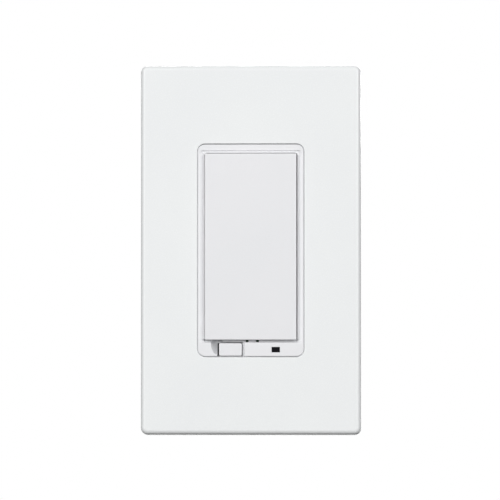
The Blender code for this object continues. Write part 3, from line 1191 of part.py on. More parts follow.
def make_housing(shop):
    """The rear case: board cavities, screw posts, rails, and side pockets for the terminals."""
    shell = cushion(
        HOUSING_HALF_X,
        -HOUSING_HALF_Z,
        HOUSING_HALF_Z,
        HOUSING_CORNER,
        SEAT_GAP,
        HOUSING_BACK,
        HOUSING_ROLL,
        HOUSING_DRAFT,
    )
    housing = shop.piece("housing", shell, "black")
    pocket_edge = POCKET_HALF_HEIGHT + POCKET_WALL
    front_mouth = -HOUSING_WALL
    for half_x, back in ((CAVITY_HALF_X, LEDGE_Y), (NARROW_HALF_X, HOUSING_BACK_INNER)):
        shop.cut(housing, block((-half_x, front_mouth, -CAVITY_HALF_Z), (half_x, back, CAVITY_HALF_Z)))
    for side in (-1, 1):
        rows = [z for way, z in TERMINALS.values() if way == side]
        for low_z, high_z in (
            (max(rows) + pocket_edge, CAVITY_HALF_Z),
            (-CAVITY_HALF_Z, min(rows) - pocket_edge),
        ):
            near, far = sorted((side * (NARROW_HALF_X - HOUSING_WALL), side * CAVITY_HALF_X))
            shop.cut(housing, block((near, front_mouth, low_z), (far, HOUSING_BACK_INNER, high_z)))
        near, far = sorted((side * RAIL_HALF_X, side * (NARROW_HALF_X + HOUSING_WALL / 2)))
        rail_low = (near, REAR_SEAT, -RAIL_HALF_HEIGHT)
        rail_high = (far, HOUSING_BACK_INNER + HOUSING_WALL / 2, RAIL_HALF_HEIGHT)
        shop.join(housing, block(rail_low, rail_high))
    post_front, post_root = BOSS_END + SEAT_GAP, HOUSING_BACK_INNER + HOUSING_WALL / 2
    head_seat, back_mouth = HOUSING_BACK - POST_COUNTERBORE, HOUSING_BACK + HOUSING_WALL
    for x, z in BOSS_PLACES:
        shop.join(housing, rod((x, post_front, z), (x, post_root, z), POST_RADIUS, SCREW_SIDES))
        shop.cut(
            housing,
            rod((x, head_seat, z), (x, back_mouth, z), HOUSING_SCREW_HEAD + SLIDE_GAP, SCREW_SIDES),
            rod((x, front_mouth, z), (x, HOUSING_BACK, z), HOUSING_SCREW_RADIUS + SCREW_GAP, HIDDEN_SIDES),
        )
    for side, z in TERMINALS.values():
        near, far = sorted((side * POCKET_FLOOR, side * (HOUSING_HALF_X + HOUSING_WALL)))
        pocket = block(
            (near, POCKET_START, z - POCKET_HALF_HEIGHT),
            (far, HOUSING_BACK + HOUSING_WALL, z + POCKET_HALF_HEIGHT),
        )
        near, far = sorted((side * (NARROW_HALF_X - POCKET_WALL), side * (POCKET_FLOOR + POCKET_WALL)))
        tongue_low, tongue_high = tongue_levels()
        slot = block(
            (near, tongue_low - SLIDE_GAP, z - TONGUE_WIDTH / 2 - SLIDE_GAP),
            (far, tongue_high + SLIDE_GAP, z + TONGUE_WIDTH / 2 + SLIDE_GAP),
        )
        hole = rod((near, TERMINAL_Y, z), (far, TERMINAL_Y, z), TERMINAL_SCREW_RADIUS + SLIDE_GAP)
        shop.cut(housing, pocket, slot, hole)


def make_housing_screws(shop):
    """Four long screws from the back, through the posts into the bezel's bosses."""
    head_seat = HOUSING_BACK - POST_COUNTERBORE + SEAT_GAP
    length = head_seat - BEZEL_FLOOR - BEZEL_FLOOR_THICKNESS / 2 - 2 * SEAT_GAP
    for x, z in BOSS_PLACES:
        level = "upper" if z > 0 else "lower"
        side = "right" if x > 0 else "left"
        shop.screw(
            f"housing_screw_{level}_{side}",
            "steel",
            (x, head_seat, z),
            (0, 1, 0),
            HOUSING_SCREW_RADIUS,
            length,
            HOUSING_SCREW_HEAD,
            HOUSING_SCREW_HEAD_HEIGHT,
        )


def tongue_levels():
    """The front and back of each terminal's inner tongue, just in front of the power board."""
    back = POWER_BOARD_Y - SEAT_GAP
    return back - TERMINAL_THICKNESS, back


def make_terminals(shop):
    """In each side pocket, a tapped plate with a tongue to the power board, a wire clamp and its screw."""
    tongue_low, tongue_high = tongue_levels()
    reach_z = POCKET_HALF_HEIGHT - TERMINAL_MARGIN
    for name, (side, z) in TERMINALS.items():
        inner = POCKET_FLOOR + SEAT_GAP
        outer = inner + TERMINAL_THICKNESS
        near, far = sorted((side * inner, side * outer))
        plate_low = (near, POCKET_START + TERMINAL_MARGIN, z - reach_z)
        plate = shop.piece(f"{name}_terminal", block(plate_low, (far, tongue_high, z + reach_z)), "brass")
        tongue_tip, tongue_root = NARROW_HALF_X - 2 * POCKET_WALL, outer - TERMINAL_THICKNESS / 2
        near, far = sorted((side * tongue_tip, side * tongue_root))
        tongue = block((near, tongue_low, z - TONGUE_WIDTH / 2), (far, tongue_high, z + TONGUE_WIDTH / 2))
        shop.join(plate, tongue)
        through_start, through_end = (0.0, TERMINAL_Y, z), (2 * side * HOUSING_HALF_X, TERMINAL_Y, z)
        shop.cut(plate, rod(through_start, through_end, TERMINAL_SCREW_RADIUS + SCREW_GAP))
        clamp_inner = outer + SEAT_GAP
        clamp_outer = clamp_inner + CLAMP_THICKNESS
        middle = (side * (clamp_inner + clamp_outer) / 2, TERMINAL_Y, z)
        clamp_size = (CLAMP_THICKNESS, 2 * CLAMP_HALF_LENGTH, 2 * (POCKET_HALF_HEIGHT - CLAMP_MARGIN))
        clamp = shop.piece(f"{name}_clamp", centred(middle, clamp_size, CLAMP_MARGIN, "X"), "steel")
        shop.cut(clamp, rod(through_start, through_end, TERMINAL_SCREW_RADIUS + SCREW_GAP))
        seat = clamp_outer + SEAT_GAP
        shop.screw(
            f"{name}_screw",
            "green_steel" if name == "ground" else "brass" if side < 0 else "steel",
            (side * seat, TERMINAL_Y, z),
            (side, 0, 0),
            TERMINAL_SCREW_RADIUS,
            seat - NARROW_HALF_X + 2 * SCREW_GAP + TERMINAL_SCREW_RADIUS,
            TERMINAL_SCREW_HEAD,
            TERMINAL_SCREW_HEAD_HEIGHT,
        )


def main():
    clear_scene()
    shop = Workshop()
    make_wall_plate(shop)
    make_sub_plate(shop)
    make_strap(shop)
    make_box_screws(shop)
    make_bezel(shop)
    make_paddle(shop)
    make_springs(shop)
    make_air_gap_switch(shop)
    make_indicator(shop)
    make_front_board(shop)
    make_triac(shop)
    make_power_board(shop)
    make_housing(shop)
    make_housing_screws(shop)
    make_terminals(shop)


main()
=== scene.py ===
import json
import math

import bmesh
import bpy
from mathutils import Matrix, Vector


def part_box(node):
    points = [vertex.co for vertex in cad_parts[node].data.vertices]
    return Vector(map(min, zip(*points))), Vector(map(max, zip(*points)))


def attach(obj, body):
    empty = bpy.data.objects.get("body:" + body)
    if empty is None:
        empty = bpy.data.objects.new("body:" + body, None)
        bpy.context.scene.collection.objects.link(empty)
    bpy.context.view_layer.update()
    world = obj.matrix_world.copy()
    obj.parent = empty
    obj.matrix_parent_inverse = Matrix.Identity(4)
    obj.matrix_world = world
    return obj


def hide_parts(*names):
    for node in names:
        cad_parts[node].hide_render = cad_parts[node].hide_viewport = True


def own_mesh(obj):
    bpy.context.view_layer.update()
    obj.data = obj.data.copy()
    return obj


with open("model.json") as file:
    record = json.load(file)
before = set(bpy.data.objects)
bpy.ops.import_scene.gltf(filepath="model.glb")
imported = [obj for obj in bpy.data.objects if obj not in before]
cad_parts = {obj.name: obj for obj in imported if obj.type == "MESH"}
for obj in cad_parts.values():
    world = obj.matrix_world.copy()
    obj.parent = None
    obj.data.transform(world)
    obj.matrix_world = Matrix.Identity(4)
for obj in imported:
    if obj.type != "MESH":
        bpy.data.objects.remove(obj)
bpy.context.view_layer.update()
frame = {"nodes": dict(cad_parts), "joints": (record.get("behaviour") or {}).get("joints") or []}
nodes = frame["nodes"]
print("frame loaded with", len(nodes), "nodes")

scene = bpy.context.scene
scene.view_settings.view_transform = "Standard"
mm = 0.001
past = 1 * mm  # how far a cutter reaches past what it cuts
skin = 0.01 * mm  # keeps two faces out of one plane
weld = 0.001 * mm  # verts nearer than this are merged
bumpDepth = 0.02 * mm
glowDepth = 0.6 * mm  # how far light gets into white plastic
cornerAngle = 0.3  # between the faces at what counts as a corner, in radians

# Camera: square to the plate, a touch to the right of it and below, with a long lens

cameraLook = {
    "lens": 400.0,
    "frameWidth": 156.6 * mm,  # what the picture spans at the bezel
    "turn": 1.65,  # degrees to the right
    "drop": 1.24,  # degrees below
    "aim": (-0.21 * mm, -6.8 * mm, 0.1 * mm),
}


def makeCamera(look):
    data = bpy.data.cameras.new("photoCamera")
    data.lens = look["lens"]
    data.sensor_width = 36.0
    camera = bpy.data.objects.new("photoCamera", data)
    scene.collection.objects.link(camera)
    turn, drop = math.radians(look["turn"]), math.radians(look["drop"])
    back = Vector((math.sin(turn) * math.cos(drop), -math.cos(turn) * math.cos(drop), -math.sin(drop)))
    distance = look["frameWidth"] * look["lens"] / data.sensor_width
    camera.location = Vector(look["aim"]) + back * distance
    camera.rotation_euler = (-back).to_track_quat("-Z", "Y").to_euler()
    data.clip_start, data.clip_end = 0.05, 20.0
    scene.camera = camera


makeCamera(cameraLook)
print("camera placed")

# Finishes: each is worked out from the piece's own coordinates


def newMaterial(name):
    material = bpy.data.materials.new(name)
    material.use_nodes = True
    tree = material.node_tree
    place = tree.nodes.new("ShaderNodeTexCoord").outputs["Object"]
    return material, tree, tree.nodes["Principled BSDF"], place


def feed(tree, node, inputs):  # sets or links each of the inputs
    for name, value in inputs.items():
        if isinstance(value, bpy.types.NodeSocket):
            tree.links.new(value, node.inputs[name])
        else:
            node.inputs[name].default_value = value
    return node


def addNode(tree, kind, inputs):
    return feed(tree, tree.nodes.new(kind), inputs)


def stretched(tree, place, scale, turn=(0.0, 0.0, 0.0)):
    return addNode(
        tree, "ShaderNodeMapping", {"Scale": scale, "Rotation": turn, "Vector": place}
    ).outputs["Vector"]


def noise(tree, place, scale, detail=3.0, roughness=0.5):
    inputs = {"Scale": scale, "Detail": detail, "Roughness": roughness, "Vector": place}
    return addNode(tree, "ShaderNodeTexNoise", inputs).outputs["Fac"]


def spread(tree, value, low, high, fromLow=0.3, fromHigh=0.7):
    inputs = {"From Min": fromLow, "From Max": fromHigh, "To Min": low, "To Max": high, "Value": value}
    return addNode(tree, "ShaderNodeMapRange", inputs).outputs["Result"]


def blendColours(tree, factor, first, second):
    node = tree.nodes.new("ShaderNodeMix")
    node.data_type = "RGBA"
    return feed(tree, node, {"A": (*first, 1.0), "B": (*second, 1.0), "Factor": factor}).outputs["Result"]


def bump(tree, height, strength, distance=bumpDepth):
    inputs = {"Strength": strength, "Distance": distance, "Height": height}
    return addNode(tree, "ShaderNodeBump", inputs).outputs["Normal"]


def mouldedPlastic(name, look):
    material, tree, shader, place = newMaterial(name)
    cloud = spread(tree, noise(tree, place, look["cloud"], 2.0), 0.0, 1.0)
    grain = noise(tree, place, look["grain"], 4.0, 0.6)
    feed(tree, shader, {
        "Base Color": blendColours(tree, cloud, look["colour"], look["tint"]),
        "Roughness": spread(tree, grain, *look["gloss"]),
        "Normal": bump(tree, grain, look["bump"]),
        "Specular IOR Level": look.get("shine", 0.5),
        "Subsurface Weight": look.get("glow", 0.0),
        "Subsurface Radius": (1.0, 1.0, 1.0),
        "Subsurface Scale": glowDepth,
    })
    return material


plasticLooks = {
    "plateWhite": {
        "colour": (0.845, 0.86, 0.86), "tint": (0.83, 0.845, 0.85), "cloud": 35.0,
        "grain": 2600.0, "gloss": (0.22, 0.30), "bump": 0.10, "shine": 0.3, "glow": 0.08,
    },
    "deviceWhite": {
        "colour": (0.80, 0.80, 0.815), "tint": (0.785, 0.79, 0.805), "cloud": 45.0,
        "grain": 3200.0, "gloss": (0.26, 0.34), "bump": 0.12, "shine": 0.4, "glow": 0.25,
    },
    # the bezel: the device white with less shine; its colour is lifted a touch to make up for the reflection
    # it loses, which is painted light
    "bezelWhite": {
        "colour": (0.815, 0.815, 0.83), "tint": (0.80, 0.805, 0.82), "cloud": 45.0,
        "grain": 3200.0, "gloss": (0.34, 0.42), "bump": 0.12, "shine": 0.15, "glow": 0.25,
    },
    "frameWhite": {
        "colour": (0.70, 0.70, 0.69), "tint": (0.67, 0.67, 0.66), "cloud": 60.0,
        "grain": 2200.0, "gloss": (0.50, 0.60), "bump": 0.25,
    },
    "smoked": {
        "colour": (0.006, 0.006, 0.008), "tint": (0.010, 0.010, 0.012), "cloud": 300.0,
        "grain": 1500.0, "gloss": (0.10, 0.16), "bump": 0.04, "shine": 0.04,
    },
    "housingBlack": {
        "colour": (0.022, 0.022, 0.024), "tint": (0.030, 0.030, 0.033), "cloud": 90.0,
        "grain": 1800.0, "gloss": (0.48, 0.62), "bump": 0.55,
    },
    "black": {
        "colour": (0.018, 0.018, 0.020), "tint": (0.028, 0.028, 0.030), "cloud": 150.0,
        "grain": 2500.0, "gloss": (0.42, 0.55), "bump": 0.3,
    },
    "sand": {
        "colour": (0.62, 0.56, 0.44), "tint": (0.55, 0.49, 0.38), "cloud": 200.0,
        "grain": 2500.0, "gloss": (0.40, 0.50), "bump": 0.2,
    },
    "filmYellow": {
        "colour": (0.68, 0.49, 0.09), "tint": (0.60, 0.42, 0.07), "cloud": 160.0,
        "grain": 1500.0, "gloss": (0.30, 0.42), "bump": 0.2,
    },
    "sleeveBlue": {
        "colour": (0.03, 0.10, 0.32), "tint": (0.025, 0.08, 0.26), "cloud": 200.0,
        "grain": 900.0, "gloss": (0.25, 0.38), "bump": 0.15,
    },
    "ceramicBlue": {
        "colour": (0.05, 0.22, 0.50), "tint": (0.04, 0.18, 0.42), "cloud": 250.0,
        "grain": 1200.0, "gloss": (0.35, 0.50), "bump": 0.5,
    },
    "clearResin": {
        "colour": (0.78, 0.80, 0.76), "tint": (0.72, 0.75, 0.66), "cloud": 400.0,
        "grain": 2000.0, "gloss": (0.08, 0.14), "bump": 0.05,
    },
    "greyFilm": {
        "colour": (0.42, 0.44, 0.46), "tint": (0.36, 0.38, 0.40), "cloud": 180.0,
        "grain": 1500.0, "gloss": (0.50, 0.62), "bump": 0.2,
    },
    "ferrite": {
        "colour": (0.09, 0.15, 0.11), "tint": (0.12, 0.19, 0.14), "cloud": 500.0,
        "grain": 3000.0, "gloss": (0.45, 0.60), "bump": 0.6,
    },
}


def workedMetal(name, look):  # drawn, plated or brushed metal, with its grain along one way
    material, tree, shader, place = newMaterial(name)
    grain = noise(tree, stretched(tree, place, look["stretch"]), look["grain"], 5.0, 0.65)
    stain = spread(tree, noise(tree, place, look["stain"]), 0.0, 1.0)
    feed(tree, shader, {
        "Base Color": blendColours(tree, stain, look["colour"], look["dull"]),
        "Roughness": spread(tree, grain, *look["gloss"]),
        "Normal": bump(tree, grain, look["bump"]),
        "Metallic": 1.0,
    })
    return material


metalLooks = {
    "brushedAluminium": {
        "colour": (0.66, 0.67, 0.68), "dull": (0.58, 0.59, 0.60), "stretch": (1.0, 1.0, 0.03),
        "grain": 4000.0, "stain": 60.0, "gloss": (0.30, 0.46), "bump": 0.25,
    },
    "zincSteel": {
        "colour": (0.60, 0.60, 0.60), "dull": (0.50, 0.51, 0.53), "stretch": (1.0, 1.0, 1.0),
        "grain": 1800.0, "stain": 250.0, "gloss": (0.22, 0.36), "bump": 0.15,
    },
    "tinnedSteel": {
        "colour": (0.62, 0.62, 0.60), "dull": (0.54, 0.54, 0.53), "stretch": (1.0, 0.1, 1.0),
        "grain": 2500.0, "stain": 150.0, "gloss": (0.25, 0.40), "bump": 0.2,
    },
    "springSteel": {
        "colour": (0.45, 0.45, 0.46), "dull": (0.36, 0.36, 0.38), "stretch": (1.0, 1.0, 1.0),
        "grain": 3500.0, "stain": 400.0, "gloss": (0.20, 0.34), "bump": 0.1,
    },
    "brass": {
        "colour": (0.74, 0.54, 0.23), "dull": (0.62, 0.44, 0.18), "stretch": (1.0, 0.08, 1.0),
        "grain": 2500.0, "stain": 180.0, "gloss": (0.22, 0.38), "bump": 0.2,
    },
    "greenSteel": {
        "colour": (0.05, 0.34, 0.13), "dull": (0.04, 0.25, 0.10), "stretch": (1.0, 1.0, 1.0),
        "grain": 1500.0, "stain": 220.0, "gloss": (0.28, 0.42), "bump": 0.15,
    },
    "copper": {
        "colour": (0.66, 0.30, 0.13), "dull": (0.54, 0.23, 0.10), "stretch": (1.0, 1.0, 1.0),
        "grain": 2500.0, "stain": 300.0, "gloss": (0.20, 0.35), "bump": 0.15,
    },
}


def boardPaint(look):  # solder mask over faint tracks
    material, tree, shader, place = newMaterial("circuitBoard")
    tracks = addNode(tree, "ShaderNodeTexBrick", {
        "Scale": look["tracks"],
        "Mortar Size": look["gap"],
        "Color1": (*look["mask"], 1.0),
        "Color2": (*look["maskLight"], 1.0),
        "Mortar": (*look["overCopper"], 1.0),
        "Vector": stretched(tree, place, (1.0, 1.0, 1.0), (math.radians(90), 0.0, 0.0)),
    })
    weave = noise(tree, place, look["weave"])
    feed(tree, shader, {
        "Base Color": tracks.outputs["Color"],
        "Roughness": spread(tree, weave, *look["gloss"]),
        "Normal": bump(tree, weave, look["bump"]),
    })
    return material


boardLook = {
    "tracks": 260.0, "gap": 0.08, "weave": 1800.0, "gloss": (0.32, 0.46), "bump": 0.15,
    "mask": (0.016, 0.14, 0.06), "maskLight": (0.02, 0.16, 0.07), "overCopper": (0.04, 0.24, 0.10),
}


def fibrePaint(look):
    material, tree, shader, place = newMaterial("pressedFibre")
    strands = noise(tree, stretched(tree, place, (1.0, 1.0, 0.3)), look["strands"], 6.0, 0.7)
    cloud = spread(tree, strands, 0.0, 1.0)
    feed(tree, shader, {
        "Base Color": blendColours(tree, cloud, look["colour"], look["dark"]),
        "Roughness": spread(tree, strands, *look["gloss"]),
        "Normal": bump(tree, strands, look["bump"], 2 * bumpDepth),
    })
    return material


fibreLook = {
    "strands": 1500.0, "colour": (0.56, 0.41, 0.25), "dark": (0.42, 0.29, 0.17),
    "gloss": (0.80, 0.92), "bump": 0.5,
}

finishes = {name: mouldedPlastic(name, look) for name, look in plasticLooks.items()}
finishes.update({name: workedMetal(name, look) for name, look in metalLooks.items()})
finishes["circuitBoard"] = boardPaint(boardLook)
finishes["pressedFibre"] = fibrePaint(fibreLook)
print("finishes mixed")

# Modelling steps shared by the pieces


def clearSelection():
    if bpy.context.mode != "OBJECT":
        bpy.ops.object.mode_set(mode="OBJECT")
    bpy.ops.object.select_all(action="DESELECT")


def makeActive(piece):
    clearSelection()
    piece.select_set(True)
    bpy.context.view_layer.objects.active = piece


def settle(piece, name=None):  # moves the object's place and turn into its mesh
    makeActive(piece)
    bpy.ops.object.transform_apply(location=True, rotation=True, scale=True)
    if name:
        piece.name = piece.data.name = name
    return piece


def newBox(name, low, high):
    clearSelection()
    middle = [(a + b) / 2 for a, b in zip(low, high)]
    bpy.ops.mesh.primitive_cube_add(size=1, location=middle, scale=[b - a for a, b in zip(low, high)])
    return settle(bpy.context.object, name)


def newRod(name, start, end, radius, sides=48):
    clearSelection()
    start, end = Vector(start), Vector(end)
    turn = Vector((0, 0, 1)).rotation_difference(end - start).to_euler()
    bpy.ops.mesh.primitive_cylinder_add(
        vertices=sides, radius=radius, depth=(end - start).length, location=(start + end) / 2, rotation=turn
    )
    return settle(bpy.context.object, name)


def newBall(name, middle, radii, sides=48, rings=32):
    clearSelection()
    bpy.ops.mesh.primitive_uv_sphere_add(
        segments=sides, ring_count=rings, radius=1, location=middle, scale=radii
    )
    return settle(bpy.context.object, name)


def startEdit(piece, kind, wanted):  # opens edit mode with only the wanted verts, edges or faces selected
    makeActive(piece)
    bpy.ops.object.mode_set(mode="EDIT")
    bpy.ops.mesh.select_mode(type=kind)
    bpy.ops.mesh.select_all(action="DESELECT")
    shape = bmesh.from_edit_mesh(piece.data)
    for item in {"VERT": shape.verts, "EDGE": shape.edges, "FACE": shape.faces}[kind]:
        if wanted(item):
            item.select_set(True)
    shape.select_flush_mode()
    bmesh.update_edit_mesh(piece.data)


def endEdit():
    bpy.ops.object.mode_set(mode="OBJECT")


def change(piece, kind, wanted, operator, **settings):  # one edit-mode step on the wanted parts
    startEdit(piece, kind, wanted)
    operator(**settings)
    endEdit()


def everything(item):
    return True


def along(axis):  # picks the edges that run along X, Y or Z, where a corner is
    index = "XYZ".index(axis)

    def wanted(edge):
        way = edge.verts[1].co - edge.verts[0].co
        return abs(way[index]) > 0.99 * way.length and edge.calc_face_angle(0) > cornerAngle

    return wanted


def onLevel(axis, level, near=0.005 * mm):  # picks the edges that lie in one plane, where a corner is
    index = "XYZ".index(axis)

    def wanted(edge):
        flat = all(abs(vert.co[index] - level) < near for vert in edge.verts)
        return flat and edge.calc_face_angle(0) > cornerAngle

    return wanted


def roundEdges(piece, wanted, radius, steps):
    settings = {"offset": radius, "offset_pct": 0, "segments": steps, "profile": 0.5, "affect": "EDGES"}
    change(piece, "EDGE", wanted, bpy.ops.mesh.bevel, clamp_overlap=True, **settings)


def roundedBox(name, low, high, corner, steps=12, axis="Y"):
    piece = newBox(name, low, high)
    roundEdges(piece, along(axis), corner, steps)
    return piece


def moveVerts(piece, wanted, shift):
    change(piece, "VERT", wanted, bpy.ops.transform.translate, value=shift)


def applyLast(piece):
    makeActive(piece)
    bpy.ops.object.modifier_apply(modifier=piece.modifiers[-1].name)


def combine(piece, operation, others):
    for other in others:
        boolean = piece.modifiers.new("combine", "BOOLEAN")
        boolean.operation = operation
        boolean.solver = "EXACT"
        boolean.object = other
        applyLast(piece)
        bpy.data.objects.remove(other)


def cutAway(piece, *cutters):
    combine(piece, "DIFFERENCE", cutters)


def joinOn(piece, *others):
    combine(piece, "UNION", others)


def drill(piece, places, radius, front, back):  # the same hole at each place, along Y
    for place in places:
        cutAway(piece, newRod("hole", (place.x, front, place.z), (place.x, back, place.z), radius))


def narrowEnd(piece, wanted, level, draft, reach):  # draws one end in by the draft on every side
    narrower = (1 - draft / reach.x, 1, 1 - draft / reach.z)
    change(piece, "VERT", wanted, bpy.ops.transform.resize, value=narrower, center_override=(0, level, 0))


def tidyFaces(piece, degrees=0.2):  # clears the needless edges that a cut leaves on flat faces
    startEdit(piece, "VERT", everything)
    bpy.ops.mesh.remove_doubles(threshold=weld)
    bpy.ops.mesh.dissolve_limited(angle_limit=math.radians(degrees))
    endEdit()


def softenEdges(piece, width, steps=2, degrees=40):
    bevel = piece.modifiers.new("soften", "BEVEL")
    bevel.width = width
    bevel.segments = steps
    bevel.limit_method = "ANGLE"
    bevel.angle_limit = math.radians(degrees)
    bevel.use_clamp_overlap = True
    bevel.miter_outer = "MITER_ARC"
    applyLast(piece)


def smoothShade(piece, degrees=35):
    makeActive(piece)
    bpy.ops.object.shade_smooth_by_angle(angle=math.radians(degrees))
    normals = piece.modifiers.new("normals", "WEIGHTED_NORMAL")
    normals.keep_sharp = True
    normals.weight = 60
    applyLast(piece)


def finishPiece(piece, body, slot, finish, *replaced):
    smoothShade(piece)
    piece.data.materials.clear()
    piece.data.materials.append(finishes[finish])
    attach(piece, body)
    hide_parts(*replaced)


def middleOf(node):  # the middle of a CAD piece
    low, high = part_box(node)
    return (low + high) / 2


def placedCopy(master, name, place, direction):  # with its own mesh: the master stands on Z at the origin
    piece = master.copy()
    piece.data = master.data.copy()
    scene.collection.objects.link(piece)
    piece.location = place
    piece.rotation_euler = Vector((0, 0, 1)).rotation_difference(Vector(direction)).to_euler()
    return settle(piece, name)


# Wall plate

wallPlateLook = {
    "wall": 1.8 * mm,
    "corner": 2.0 * mm,
    "roll": 1.4 * mm,  # how round the front edge is
    "draft": 0.05 * mm,
    "lowDraft": 0.3 * mm,  # how much further the lower side leans in
    "hollowCorner": 0.6 * mm,
    "opening": (33.55 * mm, 66.85 * mm),
    "openingCorner": 2.5 * mm,
    "openingEdge": 0.28 * mm,
    "lip": (0.9 * mm, 1.2 * mm),  # its wall, and how far it reaches back
    "catch": (1.1 * mm, 1.0 * mm, 6.0 * mm),
    "catchPlaces": (-1.6 * mm, (-36.0 * mm, 0.0, 36.0 * mm)),
}


def makeWallPlate(look):
    low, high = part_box("wall_plate")
    front, wall, corner = low.y, look["wall"], look["corner"]
    plate = roundedBox("wallPlate", low, high, corner, 14)
    narrowEnd(plate, lambda vert: vert.co.y < front / 2, front, look["draft"], high)
    moveVerts(plate, lambda vert: vert.co.y < front / 2 and vert.co.z < 0, (0.0, 0.0, look["lowDraft"]))
    roundEdges(plate, onLevel("Y", front), look["roll"], 16)
    innerX, innerZ = high.x - wall, high.z - wall
    hollow = roundedBox(
        "hollow", (-innerX, front + wall, -innerZ), (innerX, wall, innerZ), look["hollowCorner"], 6
    )
    roundEdges(hollow, onLevel("Y", front + wall), look["hollowCorner"] / 2, 3)
    cutAway(plate, hollow)
    (width, height), (lipWall, lipReach) = look["opening"], look["lip"]
    openX, openZ, openCorner = width / 2, height / 2, look["openingCorner"]
    lipX, lipZ, lipBack = openX + lipWall, openZ + lipWall, front + wall + lipReach
    lip = roundedBox(
        "lip", (-lipX, front + wall / 2, -lipZ), (lipX, lipBack, lipZ), openCorner + lipWall, 12
    )
    joinOn(plate, lip)
    opening = roundedBox(
        "opening", (-openX, front - wall, -openZ), (openX, lipBack + wall, openZ), openCorner, 12
    )
    cutAway(plate, opening)
    reach, thickness, length = look["catch"]
    catchFront, rows = look["catchPlaces"]
    for side in (-1, 1):
        for row in rows:
            tip, root = side * (innerX - reach), side * (innerX + wall / 2)
            catch = newBox(
                "catch",
                (min(tip, root), catchFront, row - length / 2),
                (max(tip, root), catchFront + thickness, row + length / 2),
            )
            roundEdges(catch, onLevel("X", tip), thickness / 4, 2)
            joinOn(plate, catch)
    tidyFaces(plate)

    def openingFront(edge):
        inside = all(abs(vert.co.x) < openX + wall and abs(vert.co.z) < openZ + wall for vert in edge.verts)
        return inside and onLevel("Y", front)(edge)

    roundEdges(plate, openingFront, look["openingEdge"], 3)
    finishPiece(plate, "device", "plate_white", "plateWhite", "wall_plate")


makeWallPlate(wallPlateLook)
print("wall plate made")

# Bezel

bezelLook = {
    "floor": (-3.0 * mm, -1.8 * mm),
    "corner": 2.3 * mm,
    "fuller": 0.1 * mm,  # how much wider than the plain solid each side is
    "edge": 0.25 * mm,
    "flange": (0.18 * mm, 0.14 * mm, 0.0),  # behind the gap to the plate: sides, bottom and top
    "flangeDepth": (-6.15 * mm, -5.0 * mm),
    "sideBand": 1.7 * mm,
    "topBand": 2.4 * mm,
    "strip": 4.5 * mm,
    "recessCorner": 0.8 * mm,
    "bandDepth": 0.75 * mm,
    "bandSpread": (1.5 * mm, 0.2 * mm, 0.55 * mm),  # how wide the slope is: sides, bottom, top
    "bandSteps": 12,
    "ledge": (0.26 * mm, 0.14 * mm, 0.6 * mm, 0.2 * mm),  # left, right, bottom and top
    "ledgeFront": (-6.35 * mm, -5.3 * mm),  # beside the paddle and under it
    "ledgeRoot": 0.3 * mm,
    "notch": (0.55 * mm, 0.2 * mm),  # left and right gap to the tab
    "notchOverlap": 0.05 * mm,  # how far up it reaches into the paddle's recess
    "tabStep": (0.45 * mm, 1.0 * mm, 0.45 * mm),  # right of the tab: its width, depth and outer round
    "scoop": (1.95 * mm, 3.8 * mm, 3.7 * mm),  # its reach left, its depth and its reach down
    "scoopDrop": 0.2 * mm,
    "tail": (4.2 * mm, 2.4 * mm),
    "tongue": (0.45 * mm, 1.63 * mm, 0.9 * mm, 0.62 * mm),  # middle, slot offset, slot width and height
    "tongueRise": 0.325 * mm,
    "windowGap": 0.05 * mm,
    "footHole": 2.7 * mm,
    "rivetHole": 2.9 * mm,
    "springStud": (1.2 * mm, 0.9 * mm, 0.3 * mm),  # radius, height and root
    "boss": (2.5 * mm, 0.6 * mm),  # radius, and where it starts behind the floor's front
    "pilot": (1.4 * mm, 0.8 * mm),
    "pivotHole": (0.9 * mm, 0.5 * mm, 1.1 * mm),  # radius, and its reach in and out from the recess
}


def recessOf(look):  # the paddle's recess: half its width, its lower end and its upper end
    low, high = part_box("bezel")
    return high.x - look["sideBand"], low.z + look["strip"], high.z - look["topBand"]


def bandCutter(look):
    halfX, low, high = recessOf(look)
    front, depth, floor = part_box("bezel")[0].y, look["bandDepth"], look["floor"][0]
    outX, outLow, outHigh = look["bandSpread"]
    cutter = roundedBox(
        "bandCutter", (-halfX, front + depth, low), (halfX, floor, high), look["recessCorner"], 8
    )
    startEdit(cutter, "FACE", lambda face: face.normal.y < -0.9)
    wasX, wasLow, wasHigh, wasY = halfX, low, high, front + depth
    for step in range(1, look["bandSteps"] + 1):
        out = math.sin(math.radians(90.0 * step / look["bandSteps"]))
        nowX, nowLow, nowHigh = halfX + outX * out, low - outLow * out, high + outHigh * out
        nowY = front + depth * (1.0 - out)
        shift = (0.0, nowY - wasY, (nowLow + nowHigh - wasLow - wasHigh) / 2)
        bpy.ops.mesh.extrude_region_move(TRANSFORM_OT_translate={"value": shift})
        wider = (nowX / wasX, 1.0, (nowHigh - nowLow) / (wasHigh - wasLow))
        bpy.ops.transform.resize(value=wider, center_override=(0.0, nowY, (nowLow + nowHigh) / 2))
        wasX, wasLow, wasHigh, wasY = nowX, nowLow, nowHigh, nowY
    bpy.ops.mesh.extrude_region_move(TRANSFORM_OT_translate={"value": (0.0, -past / 2, 0.0)})
    endEdit()
    return cutter


def ledgeFrame(look):  # a low lip round the recess that closes most of the gap beside the paddle
    halfX, low, high = recessOf(look)
    leftReach, rightReach, lowReach, highReach = look["ledge"]
    front, lowFront = look["ledgeFront"]
    floor, corner, root = look["floor"][0], look["recessCorner"], look["ledgeRoot"]
    ledge = newBox("ledge", (-halfX - root, front, low - root), (halfX + root, floor + root, high + root))
    inner = roundedBox(
        "inner",
        (leftReach - halfX, front - root, low + lowReach),
        (halfX - rightReach, floor + 2 * root, high - highReach),
        corner,
        8,
    )
    step = newBox(
        "step",
        (-halfX - 2 * root, front - root, low - 2 * root),
        (halfX + 2 * root, lowFront, low + lowReach + root),
    )
    cutAway(ledge, inner, step)
    return ledge


